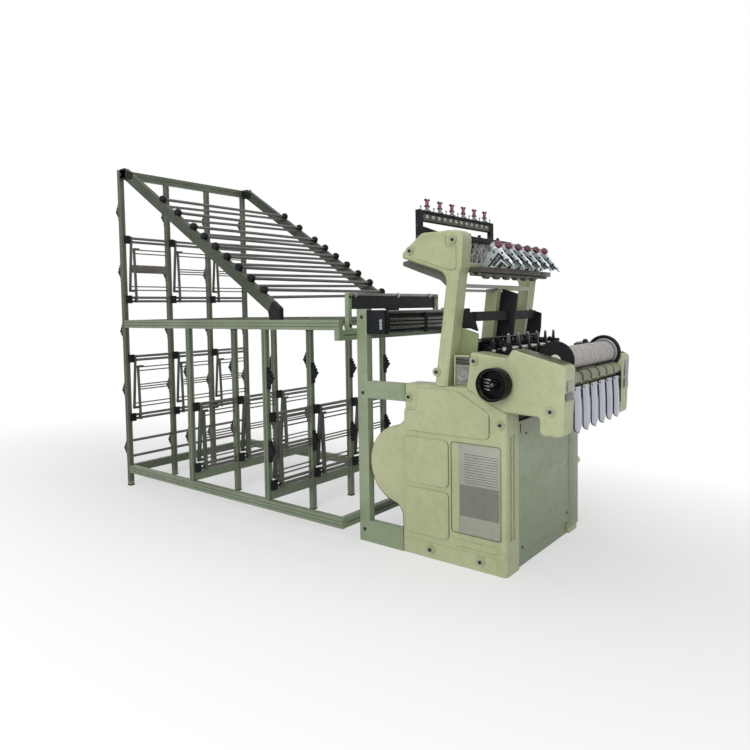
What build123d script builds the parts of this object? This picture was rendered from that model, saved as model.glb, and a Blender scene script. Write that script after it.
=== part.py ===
from build123d import *
from math import atan2, cos, degrees, radians, sin, tan
import os

# Millimetres, +Z up, X across the machine, Y along the warp. While the pieces are drawn, Y = 0 is the
# front end of the creel's side rails, the loom stands at negative Y and its take-up roller is foremost.
# near is the side at negative X and far the side at positive X.

# Creel frame
creel_width = 1044.0
creel_length = 1900.0
creel_height = 2074.0
post_width = 30.0
post_depth = 30.0
rail_height = 50.0
beam_height = 50.0
lower_rail_z = 88.0
table_z = 1100.0
middle_frame_y = 1184.0
front_frame_y = 519.0
post_columns = 4
foot_height = 30.0
foot_size = 46.0

# Sloping rails with the guide tubes
slope_end_drop = 34.0
slope_depth = 62.0
slope_foot_y = 492.0
slope_foot_z = 1145.0
shoe_length = 86.0
shoe_nose_height = 60.0
corner_plate_size = 60.0
corner_plate_thickness = 4.0
wide_tube_pitch = 148.0
wide_tube_count = 2
tube_pitch = 98.0
narrow_tube_count = 7
first_tube_y = 534.0
tube_radius = 9.0
tube_rise = 13.0
ball_radius = 24.0
ball_chamfer = 9.0
ball_sides = 12
tube_sides = 12
lower_tube_radius = 8.0
lower_tube_drop_near = 40.0
lower_tube_drop_far = 24.0

# Warp beam stations: stepped brackets on the posts, and a brake with levers round some of them
bracket_thickness = 20.0
bracket_rise = 54.0
bracket_fall = 62.0
bracket_reach = 40.0
bracket_steps = 3
station_pitch = 390.0
rear_station_z = 251.0
rear_station_count = 5
front_station_z = 405.0
front_station_count = 2
rear_brake_z = 456.0
rear_brake_count = 2
rear_brake_height = 390.0
front_brake_z = 215.0
front_brake_height = 367.0
rod_radius = 6.0
rod_sides = 8
rod_spacing = 24.0
clamp_start = 2.0
clamp_width = 35.0
clamp_height = 52.0
clamp_depth = 16.0
lever_length = 335.0
lever_depth = 14.0
lever_over = 22.0
lever_thickness = 6.0
hanging_lever_space = 25.0
hanging_lean = 30.0
rising_lever_space = 51.0
rising_lean = 12.0
wire_radius = 4.0
wire_sides = 6
wire_spacing = 24.0
wire_end = 7.0
middle_wire_pitch = 16.0
middle_wire_count = 3
low_bar_radius = 9.0
low_bar_z = 194.0
low_bar_pitch = 103.0

# Loom side frames
loom_width = 810.0
loom_offset = 16.0
side_front_y = -800.0
side_rear_y = -283.0
side_foot_rear_y = -264.0
side_top_z = 800.0
side_shoulder_z = 707.0
shoulder_y = -611.0
side_thickness = 122.0
belly_centre_y = -262.0
belly_centre_z = 411.0
belly_radius = 190.0
belly_blend = 65.0
front_edge_radius = 22.0
edge_radius = 7.0
base_height = 76.0
base_recess = 4.0
panel_proud = 7.0
panel_edge = 4.0
panel_front_y = -518.0
panel_rear_y = -284.0
low_panel_z = 107.0
middle_panel_z = 343.0
top_panel_z = 584.0
panel_height = 214.0
panel_corner = 24.0
top_panel_front_y = -722.0
top_panel_front_z = 698.0
top_panel_rear_z = 786.0
top_panel_shoulder_y = -560.0
top_panel_notch_y = -357.0
top_panel_notch_z = 684.0
plate_recess = 3.0
plate_recess_front_y = -778.0
plate_recess_rear_y = -531.0
plate_recess_bottom_z = 150.0
plate_recess_top_z = 558.0
plate_recess_corner = 14.0
strip_rear_y = -549.0
strip_front_y = -758.0
strip_bottom_z = 92.0
strip_top_z = 122.0
strip_corner = 10.0
rib_width = 12.0
rib_depth = 5.0
rib_gap = 46.0
rib_bottom_z = 150.0
rib_top_z = 600.0
boss_radius = 17.0
boss_proud = 5.0
side_bosses = [(-308.0, 739.0), (-418.0, 42.0), (-677.0, 45.0), (-776.0, 653.0)]

# Housings on the side frames
housing_thickness = 105.0
nose_y = -1057.0
nose_top_z = 912.0
nose_bottom_z = 627.0
nose_rear_y = -947.0
nose_corner = 24.0
housing_top_z = 973.0
housing_rear_top_z = 957.0
housing_rear_y = -634.0
housing_step_y = -802.0
housing_step_z = 935.0
housing_hump_y = -830.0
housing_corner = 12.0
housing_edge = 12.0
housing_foot_rise = 5.0
housing_bosses = [(-652.0, 919.0), (-996.0, 729.0)]

# Leaning arms and the centre column
arm_thickness = 83.0
arm_foot_rear_y = -449.0
arm_foot_front_y = -512.0
neck_y = -518.5
neck_z = 1300.0
neck_radius = 60.0
head_rear_y = -276.0
head_rear_bottom_z = 1381.0
head_rear_top_z = 1404.0
head_shoulder_y = -384.0
head_top_z = 1488.0
head_front_y = -600.0
head_shoulder_radius = 45.0
head_corner = 40.0
head_rear_corner = 11.0
chin_y = -588.0
chin_z = 1326.0
throat_y = -576.0
throat_z = 1300.0
arm_edge = 8.0
head_panel_rear_y = -352.0
head_panel_front_y = -568.0
head_panel_bottom_z = 1376.0
head_panel_top_z = 1467.0
head_panel_foot_y = -528.0
head_panel_foot_z = 1316.0
head_panel_notch_y = -515.0
head_panel_notch_z = 1418.0
arm_bosses = [(-324.0, 1411.0), (-463.0, 863.0)]
head_boss = (-552.0, 1445.0)
far_head_cut_y = -460.0
far_head_front_z = 1411.0
column_thickness = 40.0
column_depth = 62.0
column_top_z = 1238.0

# Bed, tie beams and covers between the side frames
bed_front_y = -860.0
bed_rear_y = -440.0
bed_top_z = 912.0
bed_skirt = 96.0
bed_wall = 14.0
tie_height = 60.0
tie_depth = 40.0
sheet_thickness = 2.0
front_sheet_inset = 2.0
front_sheet_top_z = 655.0
front_sheet_bottom_z = 66.0
crease_z = 352.0
crease_height = 30.0
crease_depth = 10.0
rear_sheet_y = -300.0
rear_tie_y = -340.0
upper_tie_z = 700.0

# Take-up
roller_y = -970.0
roller_z = 926.0
roller_radius = 52.0
flange_radius = 80.0
flange_thickness = 7.0
flange_gap = 5.0
shaft_radius = 12.0
shaft_seat = 30.0
shaft_play = 0.05
seat_gap = 0.3
press_y = -1021.0
press_z = 850.0
press_radius = 28.0
press_gap = 22.0
press_shaft_radius = 8.0
chute_y = -1044.0
chute_top_z = 818.0
chute_length = 196.0
chute_width = 66.0
chute_thickness = 3.0
chute_point = 26.0
chute_bulge = 10.0
chute_end_bulge = 6.0
chute_rail_height = 14.0
chute_rail_depth = 16.0

# Weaving heads and their swinging weft arms
head_count = 6
head_pitch = 98.0
weft_y = -735.0
weft_z = 966.0
weft_shaft_radius = 9.0
weft_arm_length = 58.0
weft_arm_width = 18.0
weft_arm_tip = 8.0
weft_arm_thickness = 6.0
pedestal_width = 26.0
pedestal_depth = 40.0
pedestal_height = 78.0
head_base_width = 60.0
head_base_depth = 90.0
head_base_height = 26.0
head_base_y = -650.0

# Handwheel
wheel_y = -766.0
wheel_z = 828.0
wheel_radius = 70.0
wheel_width = 46.0
wheel_rim = 14.0
wheel_web = 10.0
wheel_hub_radius = 24.0
wheel_shaft_radius = 14.0
wheel_shaft_seat = 60.0
wheel_stand = 8.0

# Yarn path over the arms
feeder_bar_depth = 62.0
feeder_bar_height = 22.0
feeder_seat_length = 20.0
feeder_seat_depth = 28.0
feeder_thickness = 8.0
feeder_foot_rear_y = -612.0
feeder_foot_front_y = -640.0
feeder_hollow_y = -690.0
feeder_hollow_z = 1380.0
feeder_tip_y = -755.0
feeder_tip_z = 1328.0
feeder_tip_width = 20.0
feeder_tip_height = 22.0
feeder_top_y = -664.0
feeder_top_z = 1439.0
feeder_tilt = 52.0
feeder_edge_length = 68.0
feeder_top_width = 14.0
feeder_top_drop = 9.0
knob_drop = 27.0
knob_radius = 18.0
knob_height = 24.0
knob_sides = 12
tension_y = -335.0
tension_top_z = 1604.0
tension_post_width = 34.0
tension_depth = 20.0
tension_post_reach = 343.0
tension_bar_height = 13.0
tension_web_height = 40.0
tension_web_thickness = 4.0
tension_gusset_length = 330.0
tension_gusset_height = 36.0
tension_gusset_drop = 95.0
tensioner_pitch = 111.0
tensioner_radius = 15.0
tensioner_height = 20.0
tensioner_taper = 14.0
cap_radius = 20.0
cap_height = 22.0
harness_y = -430.0
harness_bar_depth = 30.0
harness_bar_height = 16.0
harness_top_z = 1484.0
harness_bottom_z = 1366.0
spring_sides = 6
spring_radius = 4.0
springs_per_head = 4
spring_pitch = 20.0
cross_bar_y = -560.0
cross_bar_size = 16.0
black_bar_drop = 18.0
black_bar_size = 12.0
black_bar_y = -548.0

# Black guide plates behind the weaving heads, on a beam, and the pale guard on the near side
guide_plate_thickness = 12.0
near_guide_plate = [(-536.0, 1072.0), (-623.0, 1044.0), (-598.0, 1125.0), (-553.0, 1138.0)]
middle_guide_plate = [(-501.0, 912.0), (-580.0, 912.0), (-619.0, 1061.0), (-646.0, 1205.0), (-572.0, 1236.0)]
far_guide_plate = [(-540.0, 912.0), (-615.0, 912.0), (-637.0, 1042.0), (-640.0, 1115.0), (-577.0, 1136.0)]
guide_beam_y = -600.0
guide_beam_z = 1088.0
guide_beam_height = 42.0
guide_beam_depth = 24.0
guard_thickness = 6.0
guard_rear_y = -505.0
guard_front_y = -628.0
guard_top_z = 1070.0
guard_front_z = 1034.0
guard_corner = 10.0

# Links between loom and creel
support_width = 62.0
support_thickness = 40.0
support_over_table = 50.0
link_thickness = 30.0
lower_link_height = 108.0
upper_link_height = 84.0
rack_y = 60.0
rack_post_size = 24.0
rack_height = 130.0
rack_inset = 125.0
foot_plate_thickness = 6.0
tray_height = 80.0
tray_thickness = 4.0
tray_bar_size = 12.0
rack_tube_y = -140.0
rack_tube_radius = 9.0
rack_tube_z = 1058.0
rack_tube_pitch = 19.0
rack_tube_count = 3
rack_bar_rise = 74.0
rack_bracket_front_y = -170.0
rack_bracket_below = 30.0
rack_bracket_above = 86.0
rack_bracket_thickness = 8.0

half_width = creel_width / 2
loom_near_x = loom_offset - loom_width / 2
loom_far_x = loom_offset + loom_width / 2
housing_near_x = loom_near_x + housing_thickness
housing_far_x = loom_far_x - housing_thickness
arm_near_x = loom_near_x + arm_thickness
arm_far_x = loom_far_x - arm_thickness
side_near_x = loom_near_x + side_thickness
side_far_x = loom_far_x - side_thickness
rear_frame_y = creel_length - post_depth
rail_x = half_width - post_width / 2
column_pitch = 2 * rail_x / (post_columns - 1)
column_x = [-rail_x + i * column_pitch for i in range(post_columns)]
head_x = [loom_offset + (i - (head_count - 1) / 2) * head_pitch for i in range(head_count)]
rear_stations = [rear_station_z + i * station_pitch for i in range(rear_station_count)]
front_stations = [front_station_z + i * station_pitch for i in range(front_station_count)]
narrow_tubes = [first_tube_y + i * tube_pitch for i in range(narrow_tube_count)]
wide_tubes = [narrow_tubes[-1] + (i + 1) * wide_tube_pitch for i in range(wide_tube_count)]
tube_stations = narrow_tubes + wide_tubes
rear_brakes = [rear_brake_z + 2 * i * station_pitch for i in range(rear_brake_count)]
slope_angle = degrees(atan2(creel_height - slope_end_drop - slope_foot_z, rear_frame_y - slope_foot_y))
rack_top_z = table_z + rack_height
support_height = table_z + support_over_table
machine_middle_y = (nose_y + creel_length + bracket_reach) / 2


def block(x0, x1, y0, y1, z0, z1):
    """A rectangular piece between two corners."""
    return Pos((x0 + x1) / 2, (y0 + y1) / 2, (z0 + z1) / 2) * Box(x1 - x0, y1 - y0, z1 - z0)


def side_plane(x):
    """The plane seen from the far side: its own X runs along Y, its own Y upwards."""
    return Plane(origin=(x, 0, 0), x_dir=(0, 1, 0), z_dir=(1, 0, 0))


def side_plate(points, x0, x1, corner=0.0):
    """A plate pushed across from x0 to x1, from (y, z) points, with its corners rounded."""
    outline = make_face(Polyline(*points, close=True))
    if corner:
        outline = fillet(outline.vertices(), corner)
    return extrude(side_plane(x0) * outline, x1 - x0)


def rod(start, end, radius):
    """A round bar from one point to another."""
    axis = Vector(*end) - Vector(*start)
    low = (Align.CENTER, Align.CENTER, Align.MIN)
    return Plane(origin=start, z_dir=axis.normalized()) * Cylinder(radius, axis.length, align=low)


def bar(start, end, radius, sides):
    """A bar with a few flat sides, which stands for a thin round one that is repeated many times."""
    axis = Vector(*end) - Vector(*start)
    return extrude(Plane(origin=start, z_dir=axis.normalized()) * RegularPolygon(radius, sides), axis.length)


def shaped_outline(points):
    """A closed outline from (y, z, corner radius) points; a radius of 0 leaves the corner sharp."""
    outline = make_face(Polyline(*[(y, z) for y, z, radius in points], close=True))
    for y, z, radius in points:
        if radius:
            outline = fillet(outline.vertices().sort_by_distance((y, z, 0))[0], radius)
    return outline


def shaped_plate(points, x0, x1):
    """A plate pushed across from x0 to x1, from (y, z, corner radius) points."""
    return extrude(side_plane(x0) * shaped_outline(points), x1 - x0)


def outer_face(body):
    """The flat face of a near casting that looks to negative X."""
    return body.faces().filter_by(Axis.X).sort_by(Axis.X)[0]


def turned(points, y, z, x0):
    """A turned piece on an axis along X, from (distance along, radius) points that start at x0."""
    axis_plane = Plane(origin=(x0, y, z), x_dir=(1, 0, 0), z_dir=(0, -1, 0))
    return revolve(axis_plane * make_face(Polyline(*points, close=True)), Axis((x0, y, z), (1, 0, 0)))


def across_loom(shape):
    """The same piece on the loom's other side."""
    return mirror(shape, about=Plane(origin=(loom_offset, 0, 0), z_dir=(1, 0, 0)))


def across_creel(shape):
    """The same piece on the creel's other side."""
    return mirror(shape, about=Plane.YZ)


def save(name, *pieces):
    """Write one node, with the machine's middle moved to Y = 0."""
    moved = [Pos(0, -machine_middle_y, 0) * piece for piece in pieces]
    export_step(moved[0] if len(moved) == 1 else Compound(children=moved), f"parts/{name}.step")


def slope_line(y):
    """Height of the sloping rails' underside at y."""
    return slope_foot_z + (y - slope_foot_y) * tan(radians(slope_angle))


def slope_top(y):
    """Height of the sloping rails' upper face at y."""
    return slope_line(y) + slope_depth / cos(radians(slope_angle))


def frame_posts(front_y, outer_bottom_z, inner_bottom_z, top_z):
    """The posts of one creel frame; the outer two stand on the lower rails or on the floor."""
    posts = []
    for x in column_x:
        bottom = outer_bottom_z if abs(x) > column_pitch else inner_bottom_z
        posts.append(block(x - post_width / 2, x + post_width / 2, front_y, front_y + post_depth, bottom, top_z))
    return posts


def beam_segments(front_y, bottom_z):
    """The pieces of one beam that runs across a creel frame, between its posts."""
    return [block(a + post_width / 2, b - post_width / 2, front_y, front_y + post_depth, bottom_z,
                  bottom_z + beam_height) for a, b in zip(column_x, column_x[1:])]


def full_beam(front_y, bottom_z, reach):
    """A beam across the creel in one length."""
    return block(-reach, reach, front_y, front_y + post_depth, bottom_z, bottom_z + beam_height)


def side_rail(bottom_z):
    """One near side rail; it ends at the rear post."""
    return block(-half_width, -half_width + post_width, 0, rear_frame_y, bottom_z, bottom_z + rail_height)


def creel_frame():
    inner = half_width - post_width
    post_bottom = lower_rail_z + rail_height
    rail_under = table_z - rail_height
    save("creel_rear_posts", *frame_posts(rear_frame_y, foot_height, foot_height, creel_height - beam_height))
    save("creel_middle_posts", *frame_posts(middle_frame_y, post_bottom, foot_height, rail_under))
    save("creel_front_posts", *frame_posts(front_frame_y, post_bottom, foot_height, rail_under))
    save("creel_rear_beams", full_beam(rear_frame_y, creel_height - beam_height, half_width),
         *beam_segments(rear_frame_y, rail_under), *beam_segments(rear_frame_y, lower_rail_z))
    save("creel_middle_beams", full_beam(middle_frame_y, rail_under, inner),
         *beam_segments(middle_frame_y, post_bottom))
    save("creel_front_beams", full_beam(front_frame_y, rail_under, inner),
         *beam_segments(front_frame_y, post_bottom))
    save("creel_end_beams", full_beam(0, lower_rail_z, inner), full_beam(0, rail_under - beam_height, half_width))
    near_rails = [side_rail(lower_rail_z), side_rail(rail_under)]
    save("creel_near_rails", *near_rails)
    save("creel_far_rails", *[across_creel(rail) for rail in near_rails])


def creel_feet():
    """A rubber pad under each post that reaches the floor, and under the middle of the outer rails."""
    feet = []
    for front_y in (rear_frame_y, middle_frame_y, front_frame_y):
        for x in column_x:
            outer = abs(x) > column_pitch
            on_rail = outer and front_y != rear_frame_y
            height = lower_rail_z if on_rail else foot_height
            size = post_width if on_rail else foot_size
            centre_y = front_y + post_depth / 2
            feet.append(block(x - size / 2, x + size / 2, centre_y - size / 2, centre_y + size / 2, 0, height))
    save("creel_feet", *feet)


def slope_rails():
    slope = radians(slope_angle)
    heel = (slope_foot_y - slope_depth * sin(slope), slope_foot_z + slope_depth * cos(slope))
    crown_y = slope_foot_y + (creel_height - slope_top(slope_foot_y)) / tan(slope)
    outline = [(slope_foot_y, slope_foot_z), (rear_frame_y, slope_line(rear_frame_y)),
               (rear_frame_y, creel_height), (crown_y, creel_height), heel]
    rail = side_plate(outline, -half_width, -half_width + post_width)
    save("creel_slope_rails", rail, across_creel(rail))
    nose_y_shoe = slope_foot_y - shoe_length
    shoe_points = [(slope_foot_y, slope_foot_z), heel, (nose_y_shoe, table_z + shoe_nose_height),
                   (nose_y_shoe, table_z), (slope_foot_y - slope_depth * sin(slope) / 3, table_z)]
    shoe = side_plate(shoe_points, -half_width, -half_width + post_width)
    plate_rear = rear_frame_y - post_depth / 2
    plate = block(-half_width - corner_plate_thickness, -half_width, plate_rear - corner_plate_size, plate_rear,
                  creel_height - corner_plate_size, creel_height)
    pieces = [shoe, plate]
    save("creel_black_brackets", *pieces, *[across_creel(piece) for piece in pieces])


def guide_tubes():
    """Tubes across the slope: each lies on the rails between two black balls, with a lower one beneath."""
    tubes = []
    lower = []
    balls = []
    inner = half_width - post_width
    for y in tube_stations:
        z = slope_top(y) + tube_rise
        tubes.append(bar((-rail_x + ball_radius, y, z), (rail_x - ball_radius, y, z), tube_radius, tube_sides))
        lower.append(bar((-inner + seat_gap, y, z - lower_tube_drop_near),
                         (inner - seat_gap, y, z - lower_tube_drop_far), lower_tube_radius, tube_sides))
    save("guide_tubes", *tubes)
    save("lower_guide_tubes", *lower)
    slope_plane = Plane(origin=(0, slope_foot_y, slope_top(slope_foot_y)),
                        z_dir=(0, -sin(radians(slope_angle)), cos(radians(slope_angle))))
    for y in tube_stations:
        for x in (-rail_x, rail_x):
            z = slope_top(y) + tube_rise
            drum = bar((x - ball_radius, y, z), (x + ball_radius, y, z), ball_radius, ball_sides)
            ball = chamfer(drum.faces().filter_by(Axis.X).edges(), ball_chamfer)
            balls.append(split(ball, bisect_by=slope_plane, keep=Keep.TOP))
    save("guide_tube_balls", *balls)


def bracket(x, face_y, z, outward):
    """A stepped seat for a warp beam's end; outward is +1 on a rear face and -1 on a front one."""
    tread = bracket_reach / (bracket_steps + 1)
    riser = bracket_rise / (bracket_steps + 1)
    points = [(0, -bracket_fall), (0, bracket_rise)]
    for i in range(bracket_steps):
        height = bracket_rise - i * riser
        points += [((i + 1) * tread - tread / 2, height), ((i + 1) * tread, height - riser)]
    points += [(bracket_reach, 0)]
    outline = [(face_y + outward * y, z + dz) for y, dz in points]
    return side_plate(outline, x - bracket_thickness / 2, x + bracket_thickness / 2)


def beam_brackets():
    rear = [bracket(x, creel_length, z, 1) for x in column_x for z in rear_stations]
    middle = [bracket(x, middle_frame_y + post_depth, z, 1) for x in column_x for z in front_stations]
    front = [bracket(x, front_frame_y, z, -1) for x in column_x for z in front_stations]
    save("beam_brackets", *rear, *middle, *front)


def lever(x, front_y, rod_z, lean, way):
    """A long lever in front of the rods at rod_z; way is +1 for one that rises and -1 for one that hangs."""
    points = [(-lever_depth, -lever_over), (0, -lever_over), (0, lever_over), (lean, lever_length),
              (lean - lever_depth, lever_length), (-lever_depth, lever_over)]
    return side_plate([(front_y + y, rod_z + way * z) for y, z in points], x, x + lever_thickness)


def brake(front_y, low_z, height):
    """The rods, clamps, levers and wires between two rod levels of one creel frame, bay by bay."""
    high_z = low_z + height
    middle_z = low_z + height / 2
    rod_y = front_y + rod_radius + seat_gap
    end = lever_length - wire_end
    parts = {"rods": [], "clamps": [], "levers": [], "wires": []}
    for x, next_x in zip(column_x, column_x[1:]):
        left = x + post_width / 2
        right = next_x - post_width / 2
        for z in (low_z, high_z):
            parts["clamps"].append(block(x + clamp_start, x + clamp_start + clamp_width, front_y - clamp_depth,
                                         front_y, z - clamp_height / 2, z + clamp_height / 2))
            for rod_z in (z - rod_spacing / 2, z + rod_spacing / 2):
                parts["rods"].append(bar((left, rod_y, rod_z), (right, rod_y, rod_z), rod_radius, rod_sides))
        hanging = left + hanging_lever_space
        rising = left + rising_lever_space
        parts["levers"] += [lever(hanging, front_y, high_z, hanging_lean, -1),
                            lever(rising, front_y, low_z, rising_lean, 1)]
        hung = [(hanging, hanging_lean - lever_depth / 2, high_z - end + i * wire_spacing) for i in range(2)]
        risen = [(rising, rising_lean - lever_depth / 2, low_z + end - i * wire_spacing) for i in range(2)]
        middle = [(rising, wire_radius, middle_z + (i - (middle_wire_count - 1) / 2) * middle_wire_pitch)
                  for i in range(middle_wire_count)]
        for start, y, z in hung + risen + middle:
            parts["wires"].append(bar((start + lever_thickness, front_y + y, z), (right, front_y + y, z),
                                      wire_radius, wire_sides))
    return parts


def brakes():
    rear = [brake(rear_frame_y, z, rear_brake_height) for z in rear_brakes]
    front = [brake(y, front_brake_z, front_brake_height) for y in (middle_frame_y, front_frame_y)]
    low_bars = []
    for x, next_x in zip(column_x, column_x[1:]):
        left = x + post_width / 2
        right = next_x - post_width / 2
        y = rear_frame_y + post_depth / 2
        low_bars += [bar((left, y, z), (right, y, z), low_bar_radius, rod_sides)
                     for z in (low_bar_z, low_bar_z + low_bar_pitch)]
    every = rear + front
    save("beam_rods", *[piece for part in every for piece in part["rods"]], *low_bars)
    save("rod_clamps", *[piece for part in every for piece in part["clamps"]])
    save("brake_levers", *[piece for part in every for piece in part["levers"]])
    save("tension_wires", *[piece for part in every for piece in part["wires"]])


def panel(points):
    """A rounded pad cast on a side frame or arm, proud of its outer face, with broken edges."""
    pad = shaped_plate(points, loom_near_x - panel_proud, loom_near_x)
    return chamfer(outer_face(pad).outer_wire().edges(), panel_edge)


def boss(y, z):
    """A round boss for a bolt on the near castings' outer face; it reaches into the set-back base."""
    return rod((loom_near_x - boss_proud, y, z), (loom_near_x + base_recess, y, z), boss_radius)


def side_frame():
    """The lower casting: a deep plate with a round belly at the rear, raised panels and a set-back base."""
    plate = make_face(Polyline((side_front_y, 0), (side_foot_rear_y, 0), (side_foot_rear_y, belly_centre_z),
                               (side_rear_y, belly_centre_z), (side_rear_y, side_top_z), (shoulder_y, side_top_z),
                               (side_front_y, side_shoulder_z), close=True))
    outline = plate + Pos(belly_centre_y, belly_centre_z) * Circle(belly_radius)
    for y, z in ((side_rear_y, belly_centre_z + belly_radius), (side_foot_rear_y, belly_centre_z - belly_radius)):
        outline = fillet(outline.vertices().sort_by_distance((y, z, 0))[0], belly_blend)
    body = extrude(side_plane(loom_near_x) * outline, side_thickness)
    front_edge = body.edges().filter_by(Axis.Z).sort_by(lambda e: e.center().X + e.center().Y)[0]
    body = fillet(front_edge, front_edge_radius)
    body = chamfer([e for e in outer_face(body).outer_wire().edges() if e.center().Z > base_height], edge_radius)
    body -= block(loom_near_x, loom_near_x + base_recess, side_front_y, side_foot_rear_y, 0, base_height)
    rear = panel_rear_y
    front = panel_front_y
    corner = panel_corner
    for z in (low_panel_z, middle_panel_z):
        body += panel([(rear, z, corner), (front, z, corner), (front, z + panel_height, corner),
                       (rear, z + panel_height, corner)])
    body += panel([(rear, top_panel_z, corner), (top_panel_front_y, top_panel_z, corner),
                   (top_panel_front_y, top_panel_front_z, corner), (top_panel_shoulder_y, top_panel_rear_z, corner),
                   (top_panel_notch_y, top_panel_rear_z, panel_edge), (top_panel_notch_y, top_panel_notch_z, corner),
                   (rear, top_panel_notch_z, panel_edge)])
    body += panel([(strip_rear_y, strip_bottom_z, strip_corner), (strip_front_y, strip_bottom_z, strip_corner),
                   (strip_front_y, strip_top_z, strip_corner), (strip_rear_y, strip_top_z, strip_corner)])
    recess = [(y, z, plate_recess_corner) for y, z in (
        (plate_recess_rear_y, plate_recess_bottom_z), (plate_recess_front_y, plate_recess_bottom_z),
        (plate_recess_front_y, plate_recess_top_z), (plate_recess_rear_y, plate_recess_top_z))]
    body -= shaped_plate(recess, loom_near_x, loom_near_x + plate_recess)
    rib_x = loom_near_x + side_thickness / 2
    body -= block(rib_x - rib_gap / 2, rib_x + rib_gap / 2, side_front_y, side_front_y + rib_depth, rib_bottom_z,
                  rib_top_z)
    body += block(rib_x - rib_width / 2, rib_x + rib_width / 2, side_front_y, side_front_y + rib_depth, rib_bottom_z,
                  rib_top_z)
    for y, z in side_bosses:
        body += boss(y, z)
    return body


def housing():
    """The upper casting that carries the take-up, with a drooping nose at the front."""
    points = [(shoulder_y, side_top_z, 0), (housing_rear_y, housing_rear_top_z, housing_corner),
              (housing_step_y, housing_step_z, housing_corner), (housing_hump_y, housing_top_z, housing_corner),
              (nose_y, nose_top_z, nose_corner), (nose_y + housing_corner, nose_bottom_z, nose_corner),
              (nose_rear_y, nose_bottom_z, nose_corner),
              (nose_rear_y, side_shoulder_z - housing_foot_rise, housing_corner), (side_front_y, side_shoulder_z, 0)]
    body = shaped_plate(points, loom_near_x, housing_near_x)
    edges = [e for e in outer_face(body).outer_wire().edges()
             if not (shoulder_y > e.center().Y > side_front_y and e.center().Z < side_top_z)]
    body = chamfer(edges, housing_edge / 2)
    for y, z in housing_bosses:
        body += boss(y, z)
    body -= rod((housing_near_x - shaft_seat, roller_y, roller_z), (housing_near_x, roller_y, roller_z),
                shaft_radius + shaft_play)
    body -= rod((housing_near_x - shaft_seat, press_y, press_z), (housing_near_x, press_y, press_z),
                press_shaft_radius + shaft_play)
    return body


def arm():
    """The leaning arm: a column with a long head that carries the yarn path, with one raised panel."""
    body = shaped_plate([(arm_foot_rear_y, side_top_z, 0), (neck_y, neck_z, neck_radius),
                         (head_rear_y, head_rear_bottom_z, head_rear_corner),
                         (head_rear_y, head_rear_top_z, head_rear_corner),
                         (head_shoulder_y, head_top_z, head_shoulder_radius), (head_front_y, head_top_z, head_corner),
                         (chin_y, chin_z, 0), (throat_y, throat_z, 0), (arm_foot_front_y, side_top_z, 0)],
                        loom_near_x, arm_near_x)
    edges = [e for e in outer_face(body).outer_wire().edges() if e.center().Z > side_top_z]
    body = chamfer(edges, arm_edge)
    corner = panel_corner / 2
    body += panel([(head_panel_rear_y, head_panel_bottom_z, corner),
                   (head_panel_rear_y, head_rear_bottom_z + panel_corner, corner),
                   (head_shoulder_y, head_panel_top_z, corner), (head_panel_notch_y, head_panel_top_z, panel_edge),
                   (head_panel_notch_y, head_panel_notch_z, corner), (head_panel_front_y, head_panel_notch_z, corner),
                   (head_panel_front_y, head_panel_foot_z, corner), (head_panel_foot_y, head_panel_foot_z, corner)])
    for y, z in arm_bosses:
        body += boss(y, z)
    return body


def column_front(z):
    """Y of the arms' and the centre column's front edge at height z."""
    return arm_foot_front_y + (throat_y - arm_foot_front_y) * (z - side_top_z) / (throat_z - side_top_z)


def castings():
    frame = side_frame()
    save("near_side_frame", frame)
    save("far_side_frame", across_loom(frame))
    top = housing()
    wheel_bore = rod((loom_near_x, wheel_y, wheel_z), (loom_near_x + wheel_shaft_seat, wheel_y, wheel_z),
                     wheel_shaft_radius + shaft_play)
    save("near_housing", top - wheel_bore)
    save("far_housing", across_loom(top))
    leaning = arm()
    save("near_arm", leaning + boss(*head_boss))
    lowered = side_plate([(far_head_cut_y, head_top_z), (head_front_y, far_head_front_z), (head_front_y, head_top_z)],
                         loom_near_x - panel_proud, arm_near_x)
    save("far_arm", across_loom(leaning - lowered))
    foot = column_front(bed_top_z)
    top_y = column_front(column_top_z)
    column = [(foot, bed_top_z), (foot + column_depth, bed_top_z), (top_y + column_depth, column_top_z),
              (top_y, column_top_z)]
    half = column_thickness / 2
    save("centre_column", side_plate(column, loom_offset - half, loom_offset + half))


def bed_and_ties():
    bed = block(housing_near_x, housing_far_x, bed_front_y, bed_rear_y, bed_top_z - bed_skirt, bed_top_z)
    bed -= block(housing_near_x + bed_wall, housing_far_x - bed_wall, bed_front_y + bed_wall,
                 bed_rear_y - bed_wall, bed_top_z - bed_skirt, bed_top_z - bed_wall)
    save("bed", bed)
    front_tie_y = side_front_y + front_sheet_inset + crease_depth
    ties = [block(side_near_x, side_far_x, y, y + tie_depth, z, z + tie_height)
            for y, z in ((front_tie_y, 0), (rear_tie_y, 0), (rear_tie_y, upper_tie_z))]
    save("base_ties", *ties)
    y = side_front_y + front_sheet_inset
    deep = y + crease_depth
    back = y + sheet_thickness
    fold_bottom = crease_z - sheet_thickness
    fold_top = crease_z + crease_height + sheet_thickness
    sheet = [(y, front_sheet_bottom_z), (back, front_sheet_bottom_z), (back, fold_bottom), (deep, fold_bottom),
             (deep, fold_top), (back, fold_top), (back, front_sheet_top_z), (y, front_sheet_top_z),
             (y, fold_top - sheet_thickness), (deep - sheet_thickness, fold_top - sheet_thickness),
             (deep - sheet_thickness, crease_z), (y, crease_z)]
    save("front_panel", side_plate(sheet, side_near_x, side_far_x))
    save("rear_panel", block(side_near_x, side_far_x, rear_sheet_y, rear_sheet_y + sheet_thickness,
                             tie_height, upper_tie_z))


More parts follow.
